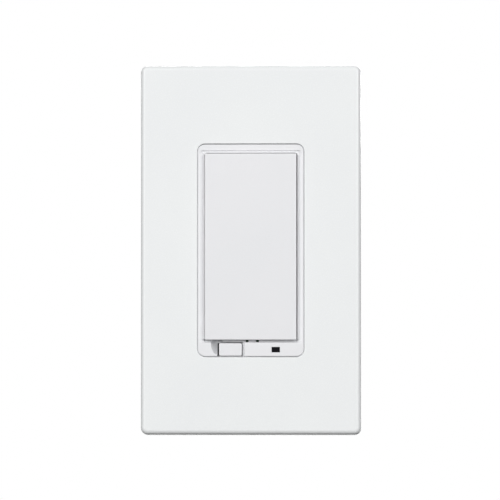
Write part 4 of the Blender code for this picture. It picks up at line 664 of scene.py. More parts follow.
def throughBox(name, place, front, back):
    x, z, width, height = place
    return newBox(name, (x - width / 2, front, z - height / 2), (x + width / 2, back, z + height / 2))


def edgeCutter(x, front, radius, low, high):  # what rounds a front edge that runs up the bezel at x
    corner = newBox("corner", (x - radius, front - radius, low), (x + radius, front + radius, high))
    start, end = (x + radius, front + radius, low - radius), (x + radius, front + radius, high + radius)
    cutAway(corner, newRod("round", start, end, radius))
    return corner


def cutTabNotch(bezel, look):  # the tab's place in the strip, with the fingernail scoop beside it
    low, (floor, back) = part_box("bezel")[0], look["floor"]
    front, recessLow = low.y, recessOf(look)[1]
    tabLow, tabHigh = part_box("air_gap_tab")
    leftGap, gap = look["notch"]
    stepWidth, stepDepth, stepRound = look["tabStep"]
    notchLeft, notchRight, notchTop = tabLow.x - leftGap, tabHigh.x + gap, recessLow + look["notchOverlap"]
    stepRight, lowEnd = notchRight + stepWidth, low.z - skin
    cutAway(
        bezel,
        newBox("notch", (notchLeft, front - gap, lowEnd), (notchRight, floor, notchTop)),
        newBox(
            "slit", (notchLeft, floor - gap, tabLow.z + 2 * gap), (tabLow.x, back + gap, notchTop - 2 * gap)
        ),
        newBall("scoop", (notchLeft, front, recessLow - look["scoopDrop"]), look["scoop"]),
        newBox("step", (notchRight - gap, front - gap, lowEnd), (stepRight, front + stepDepth, notchTop)),
        edgeCutter(stepRight, front, stepRound, low.z - gap, notchTop),
    )
    tongueX, slotOffset, slotWidth, slotHeight = look["tongue"]
    slots = [((tabLow.x + tabHigh.x) / 2, (recessLow + low.z) / 2, *look["tail"])]
    for side in (-1, 1):
        slots.append((tongueX + side * slotOffset, recessLow + look["tongueRise"], slotWidth, slotHeight))
    for place in slots:
        cutAway(bezel, throughBox("slot", place, look["ledgeFront"][0] - past, back + past))


def makeBezel(look):
    (low, high), (floor, back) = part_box("bezel"), look["floor"]
    front, corner = low.y, look["corner"]
    recessX = recessOf(look)[0]
    wide = high.x + look["fuller"]
    bezel = roundedBox("bezelFrame", (-wide, front, low.z), (wide, back, high.z), corner, 14)
    roundEdges(bezel, onLevel("Y", front), look["edge"], 6)
    sideReach, lowReach, highReach = look["flange"]
    flangeFront, flangeBack = look["flangeDepth"]
    flangeLow = (-wide - sideReach, flangeFront, low.z - lowReach)
    flangeHigh = (wide + sideReach, flangeBack, high.z + highReach)
    joinOn(bezel, roundedBox("flange", flangeLow, flangeHigh, corner, 14))
    cutAway(bezel, bandCutter(look))
    joinOn(bezel, ledgeFrame(look))
    cutTabNotch(bezel, look)
    lensLow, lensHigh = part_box("indicator_lens")
    gap = look["windowGap"]
    window = newBox(
        "window",
        (lensLow.x - gap, front - past, lensLow.z - gap),
        (lensHigh.x + gap, back + past, lensHigh.z + gap),
    )
    cutAway(bezel, window)
    drill(bezel, [middleOf("triac_rivet")], look["rivetHole"], floor - past, back + past)
    buttons = [middleOf("upper_button"), middleOf("lower_button")]
    drill(bezel, buttons, look["footHole"], floor - past, back + past)
    studRadius, studHeight, studRoot = look["springStud"]
    for spring in ("upper_spring", "lower_spring"):
        z = middleOf(spring).z
        joinOn(bezel, newRod("stud", (0, floor - studHeight, z), (0, floor + studRoot, z), studRadius, 32))
    pivotRadius, pivotIn, pivotOut = look["pivotHole"]
    for side in (-1, 1):
        near = (side * (recessX - pivotIn), pivot.y, pivot.z)
        far = (side * (recessX + pivotOut), pivot.y, pivot.z)
        cutAway(bezel, newRod("pivotHole", near, far, pivotRadius, 32))
    (bossRadius, bossStart), (pilotRadius, pilotStart) = look["boss"], look["pilot"]
    for corner in screwCorners:
        x, _, z = middleOf(f"housing_screw_{corner}")
        joinOn(bezel, newRod("boss", (x, floor + bossStart, z), (x, high.y, z), bossRadius))
        cutAway(bezel, newRod("pilot", (x, floor + pilotStart, z), (x, high.y + past, z), pilotRadius, 32))
    tidyFaces(bezel)
    finishPiece(bezel, "device", "device_white", "bezelWhite", "bezel")


pivot = Vector(next(joint["pos_m"] for joint in frame["joints"] if joint["name"] == "paddle_rock"))
screwCorners = ("upper_left", "upper_right", "lower_left", "lower_right")
makeBezel(bezelLook)
print("bezel made")

# Paddle

paddleLook = {
    "pin": (0.8 * mm, 1.4 * mm, 0.2 * mm),  # pivot pins: radius, reach past the sides, and round tip
    "fuller": 0.05 * mm,  # how much wider than the plain solid each side is
    "skirt": -4.4 * mm,
    "face": 1.4 * mm,
    "wall": 1.3 * mm,
    "hollowRound": (0.4 * mm, 0.25 * mm),
    "bow": 0.2 * mm,  # how far back the ends of the face lie
    "bowCuts": 24,
    "edge": 0.3 * mm,
    "edgeAngle": 0.8,
    "rib": (1.0 * mm, 1.2 * mm),
    "ribFromButton": 5.25 * mm,
    "foot": (1.8 * mm, 0.3 * mm),  # radius and rounding
    "ear": (4.0 * mm, -3.9 * mm),
}


def makePaddle(look):
    (low, high), skirt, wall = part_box("paddle"), look["skirt"], look["wall"]
    pinRadius, pinReach, pinRound = look["pin"]
    front, footEnd, halfX = low.y, high.y, high.x - pinReach + look["fuller"]
    paddle = newBox("rocker", (-halfX, front, low.z), (halfX, skirt, high.z))
    cuts = look["bowCuts"]
    levels = [low.z + (high.z - low.z) * step / cuts for step in range(cuts + 1)]
    for level in levels[1:-1]:
        change(paddle, "FACE", everything, bpy.ops.mesh.bisect, plane_co=(0, 0, level), plane_no=(0, 0, 1))
    for level in levels:
        share = (level - pivot.z) / ((high.z - low.z) / 2)

        def frontRow(vert):
            return abs(vert.co.z - level) < skin and vert.co.y < front + skin

        moveVerts(paddle, frontRow, (0.0, look["bow"] * share * share, 0.0))

    def faceRim(edge):
        nearFront = min(vert.co.y for vert in edge.verts) < skirt - wall
        return edge.calc_face_angle(0) > look["edgeAngle"] and nearFront

    roundEdges(paddle, faceRim, look["edge"], 8)
    inner, innerX = front + look["face"], halfX - wall
    hollowCorner, hollowEdge = look["hollowRound"]
    hollow = roundedBox("hollow", (-innerX, inner, low.z + wall), (innerX, 0, high.z - wall), hollowCorner, 4)
    roundEdges(hollow, onLevel("Y", inner), hollowEdge, 3)
    cutAway(paddle, hollow)
    (ribWidth, ribHeight), (footRadius, footRound) = look["rib"], look["foot"]
    for button, way in (("upper_button", -1), ("lower_button", 1)):
        footZ = middleOf(button).z
        ribZ = footZ + way * look["ribFromButton"]
        rib = newBox(
            "rib",
            (-innerX - wall / 2, inner - wall / 2, ribZ - ribWidth / 2),
            (innerX + wall / 2, inner + ribHeight, ribZ + ribWidth / 2),
        )
        foot = newRod("foot", (0, inner - wall / 2, footZ), (0, footEnd, footZ), footRadius)
        roundEdges(foot, onLevel("Y", footEnd), footRound, 4)
        joinOn(paddle, rib, foot)
    earWidth, earEnd = look["ear"]
    for side in (-1, 1):
        near, far = sorted((side * innerX, side * halfX))
        ear = newBox(
            "ear", (near, skirt - wall, pivot.z - earWidth / 2), (far, earEnd, pivot.z + earWidth / 2)
        )
        root, tip = side * (innerX + wall / 2), side * high.x
        pin = newRod("pin", (root, pivot.y, pivot.z), (tip, pivot.y, pivot.z), pinRadius, 32)
        roundEdges(pin, onLevel("X", tip), pinRound, 3)
        joinOn(paddle, ear, pin)
    tidyFaces(paddle, 0.02)
    finishPiece(paddle, "paddle", "device_white", "deviceWhite", "paddle")


makePaddle(paddleLook)
print("paddle made")

# Air-gap tab

tabLook = {
    "back": -3.6 * mm,
    "corner": 0.45 * mm,
    "edge": 0.3 * mm,
    "tail": (3.6 * mm, 1.8 * mm, 12.0 * mm),  # width, height and end
    "tailRoot": 0.6 * mm,
    "stop": (5.8 * mm, 3.0 * mm, 3.2 * mm, 3.8 * mm),
    "pinRadius": 0.7 * mm,
}


def makeTab(look):
    (low, high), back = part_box("air_gap_tab"), look["back"]
    x, z = middleOf("air_gap_bridge").x, middleOf("air_gap_bridge").z
    tab = roundedBox("pullTab", low, (high.x, back, high.z), look["corner"], 6)
    roundEdges(tab, onLevel("Y", low.y), look["edge"], 5)
    tailWidth, tailHeight, tailEnd = look["tail"]
    stopWidth, stopHeight, stopFront, stopBack = look["stop"]
    joinOn(
        tab,
        throughBox("tail", (x, z, tailWidth, tailHeight), back - look["tailRoot"], tailEnd),
        throughBox("stop", (x, z, stopWidth, stopHeight), stopFront, stopBack),
        newRod("pin", (x, tailEnd - tailHeight, z), (x, high.y, z), look["pinRadius"], 32),
    )
    tidyFaces(tab)
    finishPiece(tab, "air_gap_slider", "device_white", "deviceWhite", "air_gap_tab")


makeTab(tabLook)

# Indicator window

windowLook = {"edge": 0.06 * mm}


def makeWindow(look):
    window = newBox("lightPipe", *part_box("indicator_lens"))
    roundEdges(window, lambda edge: edge.calc_face_angle(0) > cornerAngle, look["edge"], 3)
    finishPiece(window, "device", "smoked_plastic", "smoked", "indicator_lens")


makeWindow(windowLook)
print("tab and window made")

# Frame that the wall plate snaps over

ends = ("upper", "lower")
coverFrameLook = {
    "corner": 2.0 * mm,
    "rim": 1.2 * mm,
    "floor": -3.3 * mm,
    "opening": (17.95 * mm, 34.7 * mm),
    "openingCorner": 2.5 * mm,
    "headHole": 3.8 * mm,
    "screwHole": 1.9 * mm,
    "soften": 0.15 * mm,
}


def makeCoverFrame(look):
    (low, high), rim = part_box("sub_plate"), look["rim"]
    piece = roundedBox("coverFrame", low, high, look["corner"])
    before, behind = low.y - rim, high.y + rim
    hollowLow, hollowHigh = (low.x + rim, before, low.z + rim), (high.x - rim, look["floor"], high.z - rim)
    openX, openZ = look["opening"]
    cutAway(
        piece,
        roundedBox("hollow", hollowLow, hollowHigh, look["corner"] - rim, 8),
        roundedBox("opening", (-openX, before, -openZ), (openX, behind, openZ), look["openingCorner"]),
    )
    for node, radius in (("box_screw", look["headHole"]), ("sub_plate_screw", look["screwHole"])):
        drill(piece, [middleOf(f"{node}_{end}") for end in ends], radius, before, behind)
    tidyFaces(piece)
    softenEdges(piece, look["soften"])
    finishPiece(piece, "device", "frame_white", "frameWhite", "sub_plate")


makeCoverFrame(coverFrameLook)

# Strap: one stamped sheet with ears, shoulders and break-off fins

strapLook = {
    "core": (22.0 * mm, 36.5 * mm),
    "shoulder": 5.0 * mm,
    "ear": 17.0 * mm,
    "fin": (4.0 * mm, 34.0 * mm),
    "finSlot": (23.0 * mm, 1.0 * mm, 24.0 * mm),
    "corner": 1.0 * mm,
    "boxSlot": (6.6 * mm, 3.8 * mm, 1.8 * mm),
    "plateScrewHole": 1.75 * mm,
    "bossHole": 2.8 * mm,
    "footHole": 2.7 * mm,
    "rivetHole": 1.8 * mm,
    "slotGap": 0.3 * mm,
    "frontSlots": (1.4 * mm, 1.6 * mm),  # width behind the gap beside the tab, height behind the tongue
    "soften": 0.12 * mm,
}


def makeStrap(look):
    low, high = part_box("strap")
    front, back = low.y, high.y
    coreX, coreZ = look["core"]
    earX, shoulder = look["ear"], look["shoulder"]
    strap = newBox("yoke", (-coreX, front, -coreZ - shoulder), (coreX, back, coreZ + shoulder))
    roundEdges(strap, along("Y"), shoulder, 1)
    joinOn(strap, newBox("ears", (-earX, front, low.z), (earX, back, high.z)))
    finLow, finHigh = look["fin"]
    for levels in ((-finHigh, -finLow), (finLow, finHigh)):
        joinOn(strap, newBox("fins", (low.x, front, levels[0]), (high.x, back, levels[1])))
    tidyFaces(strap)
    roundEdges(strap, along("Y"), look["corner"], 6)
    before, behind = front - shoulder, back + shoulder
    slotX, slotWidth, slotLength = look["finSlot"]
    for side in (-1, 1):
        for way in (-1, 1):
            place = (side * slotX, way * (finLow + finHigh) / 2, slotWidth, slotLength)
            cutAway(strap, throughBox("finSlot", place, before, behind))
    slotWidth, slotHeight, slotCorner = look["boxSlot"]
    for end in ends:
        z = middleOf(f"box_screw_{end}").z
        slotLow = (-slotWidth / 2, before, z - slotHeight / 2)
        slotHigh = (slotWidth / 2, behind, z + slotHeight / 2)
        cutAway(strap, roundedBox("boxSlot", slotLow, slotHigh, slotCorner, 10))
    for hole, drilled in (
        ("plateScrewHole", [f"sub_plate_screw_{end}" for end in ends]),
        ("bossHole", [f"housing_screw_{corner}" for corner in screwCorners]),
        ("footHole", [f"{end}_button" for end in ends]),
        ("rivetHole", ["triac_rivet"]),
    ):
        drill(strap, [middleOf(node) for node in drilled], look[hole], before, behind)
    lens, tail, gap = middleOf("indicator_lens"), middleOf("air_gap_bridge"), look["slotGap"]
    lensLow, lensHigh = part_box("indicator_lens")
    tailWidth, tailHeight = tabLook["tail"][:2]
    tabLow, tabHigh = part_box("air_gap_tab")
    besideTab, underPaddle = look["frontSlots"]
    tabGap, (tongueX, tongueOffset) = bezelLook["notch"][0], bezelLook["tongue"][:2]
    recessLow = recessOf(bezelLook)[1]
    for place in (
        (tabLow.x - tabGap / 2, (tabLow.z + tabHigh.z) / 2, besideTab, tabHigh.z - tabLow.z),
        (tongueX, recessLow, 2 * (tongueOffset + gap) + underPaddle, underPaddle),
        (lens.x, lens.z, lensHigh.x - lensLow.x + 2 * gap, lensHigh.z - lensLow.z + 2 * gap),
        (tail.x, tail.z, tailWidth + 2 * gap, tailHeight + 2 * gap),
    ):
        cutAway(strap, throughBox("slot", place, before, behind))
    tidyFaces(strap)
    softenEdges(strap, look["soften"])
    finishPiece(strap, "device", "strap_aluminium", "brushedAluminium", "strap")


makeStrap(strapLook)

# Rear housing

housingLook = {
    "corner": 2.5 * mm,
    "backRoll": 1.2 * mm,
    "draft": 0.3 * mm,
    "wall": 1.8 * mm,
    "cavity": (19.95 * mm, 33.2 * mm, 5.9 * mm),  # half sizes and where its ledge lies
    "narrow": 16.65 * mm,
    "cavityBack": 28.7 * mm,
    "well": (14.85 * mm, 6.4 * mm),  # how near the middle, and how far from the last terminal
    "rail": (15.45 * mm, 17.55 * mm, 17.8 * mm, 12.0 * mm),
    "post": (3.3 * mm, 2.9 * mm),  # radius and front
    "screwHole": (2.4 * mm, 8.5 * mm, 1.4 * mm),  # counterbore's radius and depth, and hole
    "pocket": (18.15 * mm, 7.0 * mm, 4.9 * mm),
    "tongueSlot": (15.15 * mm, 19.65 * mm, 14.7 * mm, 16.1 * mm, 1.8 * mm),
    "terminalHole": 2.0 * mm,
    "backPanel": (12.5 * mm, 22.0 * mm, 0.25 * mm, 1.2 * mm),  # sunk and bare: half sizes, depth, corner
    "soften": 0.2 * mm,
}
terminalNames = ("line", "load", "ground", "neutral", "traveler")


def sided(side, near, far, lowY, highY, lowZ, highZ):  # a box on the left or the right, from its reach in X
    first, second = sorted((side * near, side * far))
    return newBox("sided", (first, lowY, lowZ), (second, highY, highZ))


def makeHousing(look):
    low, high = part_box("housing")
    wall = look["wall"]
    housing = roundedBox("rearCase", low, high, look["corner"], 10)
    narrowEnd(housing, lambda vert: vert.co.y > high.y / 2, high.y, look["draft"], high)
    roundEdges(housing, onLevel("Y", high.y), look["backRoll"], 8)
    cavityX, cavityZ, ledge = look["cavity"]
    narrow, cavityBack = look["narrow"], look["cavityBack"]
    cutAway(
        housing,
        newBox("cavity", (-cavityX, -wall, -cavityZ), (cavityX, ledge, cavityZ)),
        newBox("deep", (-narrow, -wall, -cavityZ), (narrow, cavityBack, cavityZ)),
    )
    wellNear, wellEdge = look["well"]
    railNear, railFar, railFront, railHalf = look["rail"]
    spots = [middleOf(f"{name}_screw") for name in terminalNames]
    for side in (-1, 1):
        rows = [spot.z for spot in spots if spot.x * side > 0]
        cutAway(housing, sided(side, wellNear, cavityX, -wall, cavityBack, max(rows) + wellEdge, cavityZ))
        cutAway(housing, sided(side, wellNear, cavityX, -wall, cavityBack, -cavityZ, min(rows) - wellEdge))
        joinOn(housing, sided(side, railNear, railFar, railFront, cavityBack + wall / 2, -railHalf, railHalf))
    (postRadius, postFront), (boreRadius, boreDepth, holeRadius) = look["post"], look["screwHole"]
    corners = [middleOf(f"housing_screw_{corner}") for corner in screwCorners]
    for x, _, z in corners:
        joinOn(housing, newRod("post", (x, postFront, z), (x, cavityBack + wall / 2, z), postRadius))
    drill(housing, corners, boreRadius, high.y - boreDepth, high.y + past)
    drill(housing, corners, holeRadius, -wall, high.y)
    pocketFloor, pocketFront, pocketHalf = look["pocket"]
    slotNear, slotFar, slotLow, slotHigh, slotHalf = look["tongueSlot"]
    for spot in spots:
        side, z = math.copysign(1, spot.x), spot.z
        pocketLow, pocketHigh = z - pocketHalf, z + pocketHalf
        cutAway(
            housing,
            sided(side, pocketFloor, high.x + past, pocketFront, high.y + past, pocketLow, pocketHigh),
            sided(side, slotNear, slotFar, slotLow, slotHigh, z - slotHalf, z + slotHalf),
            newRod("hole", (side * slotNear, spot.y, z), (side * slotFar, spot.y, z), look["terminalHole"]),
        )
    panelX, panelZ, panelDepth, panelCorner = look["backPanel"]
    panelLow, panelHigh = (-panelX, high.y - panelDepth, -panelZ), (panelX, high.y + past, panelZ)
    cutAway(housing, roundedBox("panel", panelLow, panelHigh, panelCorner, 6))
    tidyFaces(housing)
    softenEdges(housing, look["soften"])
    finishPiece(housing, "device", "housing_plastic", "housingBlack", "housing")


makeHousing(housingLook)
print("cover frame, strap and housing made")

# Screws: a threaded shank under a domed head with a cross recess, modelled standing on Z

screwLooks = {
    "box": {
        "length": 22.0 * mm, "crest": 1.75 * mm, "root": 1.35 * mm, "pitch": 0.794 * mm, "thread": 22.0 * mm,
        "head": 3.4 * mm, "height": 1.8 * mm, "tip": 0.5 * mm,
    },
    "plate": {
        "length": 8.0 * mm, "crest": 1.6 * mm, "root": 1.25 * mm, "pitch": 0.794 * mm, "thread": 8.0 * mm,
        "head": 2.8 * mm, "height": 0.9 * mm, "tip": 0.4 * mm,
    },
    "housing": {
        "length": 24.2 * mm, "crest": 1.25 * mm, "root": 0.95 * mm, "pitch": 1.0 * mm, "thread": 7.0 * mm,
        "head": 2.1 * mm, "height": 1.6 * mm, "tip": 0.3 * mm,
    },
    "terminal": {
        "length": 5.9 * mm, "crest": 1.7 * mm, "root": 1.35 * mm, "pitch": 0.794 * mm, "thread": 5.9 * mm,
        "head": 3.4 * mm, "height": 1.7 * mm, "tip": 0.4 * mm,
    },
}
threadLook = {
    "steps": 20,
    "crestShare": 0.14,
    "intoHead": 0.3,
    "shankOverlap": 0.5 * mm,
    "shankFuller": 0.1 * mm,
}
headLook = {"dome": 0.7, "rim": 0.06}  # roundings, as shares of its height
driveLook = {"length": 1.24, "width": 0.34, "depth": 0.6, "taper": 0.7}  # shares of the head's size


def wind(piece, pitch, turns, steps):  # winds an outline up the Z axis
    screw = piece.modifiers.new("wind", "SCREW")
    screw.axis = "Z"
    screw.screw_offset = pitch
    screw.iterations = turns
    screw.steps = screw.render_steps = steps
    applyLast(piece)
    change(piece, "VERT", everything, bpy.ops.mesh.remove_doubles, threshold=weld)


def makeThread(look, end):  # one tooth's outline wound up the shank, cut flat at both ends
    root, crest, pitch = look["root"], look["crest"], look["pitch"]
    start = -look["length"] - pitch
    clearSelection()
    middle = (root + crest) / 2
    bpy.ops.mesh.primitive_plane_add(
        size=1, location=(middle, 0, start + pitch / 2), rotation=(math.radians(90), 0, 0)
    )
    bpy.context.object.scale = (crest - root, pitch, 1)
    thread = settle(bpy.context.object, "thread")
    slimmer = {"value": (1, 1, threadLook["crestShare"]), "center_override": (crest, 0, start + pitch / 2)}
    change(thread, "VERT", lambda vert: vert.co.x > middle, bpy.ops.transform.resize, **slimmer)
    change(thread, "FACE", everything, bpy.ops.mesh.delete, type="ONLY_FACE")

    def atRoot(edge):
        return all(vert.co.x < middle for vert in edge.verts)

    change(thread, "EDGE", atRoot, bpy.ops.mesh.delete, type="EDGE")
    wind(thread, pitch, math.ceil((end - start) / pitch) + 1, threadLook["steps"])
    for level, way in ((-look["length"], 1), (end, -1)):
        cut = {"plane_co": (0, 0, level), "plane_no": (0, 0, way), "use_fill": True, "clear_inner": True}
        change(thread, "FACE", everything, bpy.ops.mesh.bisect, threshold=weld, **cut)
    change(thread, "FACE", everything, bpy.ops.mesh.normals_make_consistent, inside=False)
    return thread


def makeScrew(kind, look):
    length, crest, root, head, height = [look[part] for part in ("length", "crest", "root", "head", "height")]
    inHead = height * threadLook["intoHead"]
    screw = makeThread(look, inHead if look["thread"] == length else look["thread"] - length)
    tip = newRod("tip", (0, 0, -length), (0, 0, height), crest + skin)
    roundEdges(tip, onLevel("Z", -length), look["tip"], 1)
    combine(screw, "INTERSECT", [tip])
    if look["thread"] < length:
        start = look["thread"] - length - threadLook["shankOverlap"]
        joinOn(screw, newRod("shank", (0, 0, start), (0, 0, inHead), root + threadLook["shankFuller"]))
    cap = newRod("cap", (0, 0, 0), (0, 0, height), head, 64)
    roundEdges(cap, onLevel("Z", height), headLook["dome"] * height, 8)
    roundEdges(cap, onLevel("Z", 0), headLook["rim"] * height, 2)
    joinOn(screw, cap)
    reach, half = head * driveLook["length"] / 2, head * driveLook["width"] / 4
    bottom, taper = height * (1 - driveLook["depth"]), driveLook["taper"]
    cross = newBox("cross", (-reach, -half, bottom), (reach, half, height + head))
    joinOn(cross, newBox("arm", (-half, -reach, bottom), (half, reach, height + head)))
    narrower = {"value": (taper, taper, 1), "center_override": (0, 0, bottom)}
    change(cross, "VERT", lambda vert: vert.co.z < height / 2, bpy.ops.transform.resize, **narrower)
    cutAway(screw, cross)
    tidyFaces(screw, 0.1)
    screw.name = screw.data.name = f"{kind}Screw"
    return screw


screwWays = {"box": (0, -1, 0), "plate": (0, -1, 0), "housing": (0, 1, 0), "terminal": (1, 0, 0)}


def placeScrew(master, kind, name, node, finish, slot, side):
    low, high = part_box(node)
    way = Vector(screwWays[kind]) * side
    underHead = (low + high) / 2
    for axis in range(3):
        if way[axis]:
            tip = low if way[axis] > 0 else high
            underHead[axis] = tip[axis] + way[axis] * screwLooks[kind]["length"]
    finishPiece(placedCopy(master, name, underHead, way), "device", slot, finish, node)


screwSets = {
    "box": [(f"boxScrew.{end}", f"box_screw_{end}", "zincSteel", "zinc_steel", 1) for end in ends],
    "plate": [(f"plateScrew.{end}", f"sub_plate_screw_{end}", "zincSteel", "zinc_steel", 1) for end in ends],
    "housing": [
        (f"caseScrew.{corner}", f"housing_screw_{corner}", "zincSteel", "zinc_steel", 1)
        for corner in screwCorners
    ],
    "terminal": [
        ("lineScrew", "line_screw", "brass", "brass", -1),
        ("loadScrew", "load_screw", "brass", "brass", -1),
        ("groundScrew", "ground_screw", "greenSteel", "green_steel", -1),
        ("neutralScrew", "neutral_screw", "zincSteel", "zinc_steel", 1),
        ("travelerScrew", "traveler_screw", "zincSteel", "zinc_steel", 1),
    ],
}


def makeScrews(sets):
    for kind, rows in sets.items():
        master = makeScrew(kind, screwLooks[kind])
        for name, node, finish, slot, side in rows:
            placeScrew(master, kind, name, node, finish, slot, side)
        bpy.data.objects.remove(master)


makeScrews(screwSets)
print("screws threaded and placed")

# Fibre washers that keep the box screws in their slots

washerLook = {"corner": 0.9 * mm, "hole": 1.9 * mm, "soften": 0.06 * mm}


def makeWasher(end, look):
    low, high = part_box(f"screw_keeper_{end}")
    washer = roundedBox(f"screwWasher.{end}", low, high, look["corner"], 6)
    drill(washer, [middleOf(f"box_screw_{end}")], look["hole"], low.y - past, high.y + past)
    softenEdges(washer, look["soften"])
    finishPiece(washer, "device", "fibre", "pressedFibre", f"screw_keeper_{end}")


for end in ends:
    makeWasher(end, washerLook)

# Return springs under the paddle

springLook = {
    "wire": 0.25 * mm,
    "sides": 12,
    "turns": 4,
    "steps": 32,
    "keep": 0.94,  # how short the paddle presses it
}


def makeSpring(name, node, look):
    (low, high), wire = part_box(node), look["wire"]
    radius, height = (high.x - low.x) / 2 - wire, high.y - low.y - 2 * wire
    clearSelection()
    bpy.ops.mesh.primitive_circle_add(
        vertices=look["sides"], radius=wire, location=(radius, 0, 0), rotation=(math.radians(90), 0, 0)
    )
    spring = settle(bpy.context.object, name)
    wind(spring, height / look["turns"], look["turns"], look["steps"])
    startEdit(spring, "VERT", everything)
    bpy.ops.mesh.fill_holes(sides=0)
    bpy.ops.mesh.normals_make_consistent(inside=False)
    endEdit()
    spring.location = (0, high.y - wire, (low.z + high.z) / 2)
    spring.rotation_euler = (math.radians(90), 0, 0)
    settle(spring)
    finishPiece(spring, "device", "spring_steel", "springSteel", node)
    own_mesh(spring)


for end in ends:
    makeSpring(f"returnSpring.{end}", f"{end}_spring", springLook)
print("springs wound")

# Wire terminals: a tapped plate with a tongue into the housing, and a clamp with two wire channels

terminalLook = {
    "sheet": 0.8 * mm,
    "hole": 1.85 * mm,
    "tongue": 1.5 * mm,
    "corner": 0.5 * mm,
    "clampCorner": 0.9 * mm,
    "channel": (2.9 * mm, 0.5 * mm),  # their distance from the screw, and radius
    "soften": 0.08 * mm,
}


def makeTerminal(name, look):
    low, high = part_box(f"{name}_terminal")
    x, y, z = middleOf(f"{name}_screw")
    side, sheet, tongue = (1 if x > 0 else -1), look["sheet"], look["tongue"]
    near, far = sorted((abs(low.x), abs(high.x)))
    first, second = sorted((side * (far - sheet), side * far))
    plate = roundedBox(
        f"{name}Plate", (first, low.y, low.z), (second, high.y, high.z), look["corner"], 5, "X"
    )
    joinOn(plate, sided(side, near, far - sheet / 2, high.y - sheet, high.y, z - tongue, z + tongue))
    cutAway(plate, newRod("hole", (side * near, y, z), (side * (far + past), y, z), look["hole"]))
    tidyFaces(plate)
    softenEdges(plate, look["soften"])
    finishPiece(plate, "device", "brass", "brass", f"{name}_terminal")
    low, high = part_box(f"{name}_clamp")
    clamp = roundedBox(f"{name}Clamp", low, high, look["clampCorner"], 6, "X")
    inner = low.x if side > 0 else high.x
    cutAway(clamp, newRod("hole", (low.x - past, y, z), (high.x + past, y, z), look["hole"]))
    reach, radius = look["channel"]
    for way in (-1, 1):
        row = z + way * reach
        cutAway(clamp, newRod("channel", (inner, low.y - past, row), (inner, high.y + past, row), radius, 32))
    tidyFaces(clamp)
    softenEdges(clamp, look["soften"])
    finishPiece(clamp, "device", "zinc_steel", "zincSteel", f"{name}_clamp")


for name in terminalNames:
    makeTerminal(name, terminalLook)
print("washers and terminals made")

# CAD nodes that keep their own shape

keptNodes = {
    "black": ["upper_switch", "lower_switch", "microcontroller", "board_header", "triac", "supply_module"],
    "sand": ["upper_button", "lower_button", "fuse"],
    "filmYellow": ["film_capacitor"],
    "sleeveBlue": ["filter_capacitor"],
    "ceramicBlue": ["surge_absorber"],
    "clearResin": ["status_led"],
    "greyFilm": ["triac_insulator"],
    "ferrite": ["choke_core"],
    "brushedAluminium": ["triac_rivet"],
    "tinnedSteel": ["radio_shield"],
    "brass": ["air_gap_contact_left", "air_gap_contact_right"],
    "copper": ["choke_winding", "air_gap_bridge"],
    "circuitBoard": ["front_board", "power_board", "radio_board"],
}


def finishNodes(sets):
    for finish, names in sets.items():
        for name in names:
            nodes[name].data.materials.clear()
            nodes[name].data.materials.append(finishes[finish])


finishNodes(keptNodes)
print("CAD nodes finished")

# Light and background

lampLooks = {
    "left": {"turn": -27.0, "rise": 15.0, "distance": 3.0, "size": 1.6, "power": 52.0},
    "right": {"turn": 29.0, "rise": 15.0, "distance": 3.0, "size": 1.6, "power": 47.0},
    "top": {"turn": 0.0, "rise": 40.0, "distance": 3.0, "size": 1.2, "power": 4.0},
    "behind": {"turn": 180.0, "rise": 18.0, "distance": 3.0, "size": 1.6, "power": 50.0},
}


def makeLamps(looks):
    for name, look in looks.items():
        data = bpy.data.lights.new(name, "AREA")
        data.size = look["size"]
        data.energy = look["power"]
        lamp = bpy.data.objects.new(name, data)
        turn, rise = math.radians(look["turn"]), math.radians(look["rise"])
        way = Vector((math.sin(turn) * math.cos(rise), -math.cos(turn) * math.cos(rise), math.sin(rise)))
        lamp.location = way * look["distance"]
        lamp.rotation_euler = (-way).to_track_quat("-Z", "Y").to_euler()
        scene.collection.objects.link(lamp)


makeLamps(lampLooks)


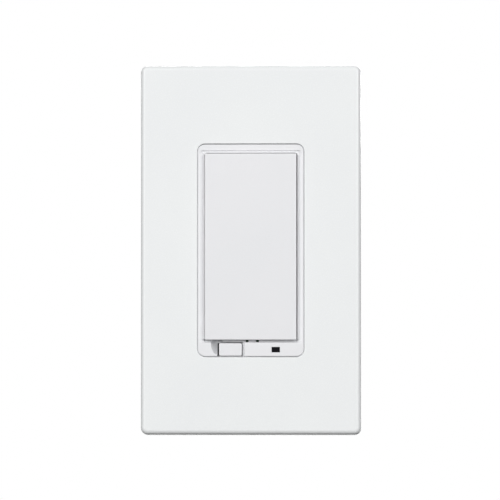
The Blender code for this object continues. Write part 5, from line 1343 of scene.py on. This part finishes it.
def seenDirectly(tree):  # 1 for what the camera sees, also in gloss or through glass, and 0 for its light
    path = tree.nodes.new("ShaderNodeLightPath")
    seen = path.outputs["Is Camera Ray"]
    for ray in ("Is Glossy Ray", "Is Transmission Ray"):
        both = tree.nodes.new("ShaderNodeMath")
        both.operation = "MAXIMUM"
        tree.links.new(seen, both.inputs[0])
        tree.links.new(path.outputs[ray], both.inputs[1])
        seen = both.outputs[0]
    return seen


def makeWorld(look):
    world = bpy.data.worlds.new("studio")
    world.use_nodes = True
    scene.world = world
    tree = world.node_tree
    tree.nodes.clear()
    light = {"Color": (*look["tint"], 1.0), "Strength": look["soft"]}
    soft = addNode(tree, "ShaderNodeBackground", light)
    white = addNode(tree, "ShaderNodeBackground", {"Color": (1.0, 1.0, 1.0, 1.0), "Strength": 1.0})
    mix = tree.nodes.new("ShaderNodeMixShader")
    out = tree.nodes.new("ShaderNodeOutputWorld")
    tree.links.new(seenDirectly(tree), mix.inputs["Fac"])
    tree.links.new(soft.outputs[0], mix.inputs[1])
    tree.links.new(white.outputs[0], mix.inputs[2])
    tree.links.new(mix.outputs[0], out.inputs["Surface"])


makeWorld({"tint": (0.96, 0.98, 1.0), "soft": 0.07})

floorLook = {
    "level": -0.30,
    "size": 6.0,
    "pale": (0.80, 0.80, 0.80),  # as the camera sees it
    "shade": (0.04, 0.04, 0.04),  # as the light that bounces off it takes it
    "cloud": 3.0,
    "cloudSpread": (0.97, 1.0),
    "roughness": 0.9,
}


def makeFloor(look):
    clearSelection()
    bpy.ops.mesh.primitive_plane_add(size=look["size"], location=(0, 0, look["level"]))
    floor = bpy.context.object
    floor.name = "studioFloor"
    material, tree, shader, place = newMaterial("floorPaint")
    cloud = spread(tree, noise(tree, place, look["cloud"]), *look["cloudSpread"])
    both = tree.nodes.new("ShaderNodeMath")
    both.operation = "MULTIPLY"
    tree.links.new(seenDirectly(tree), both.inputs[0])
    tree.links.new(cloud, both.inputs[1])
    paint = blendColours(tree, both.outputs[0], look["shade"], look["pale"])
    feed(tree, shader, {"Base Color": paint, "Roughness": look["roughness"]})
    floor.data.materials.append(material)


makeFloor(floorLook)
print("studio lit")
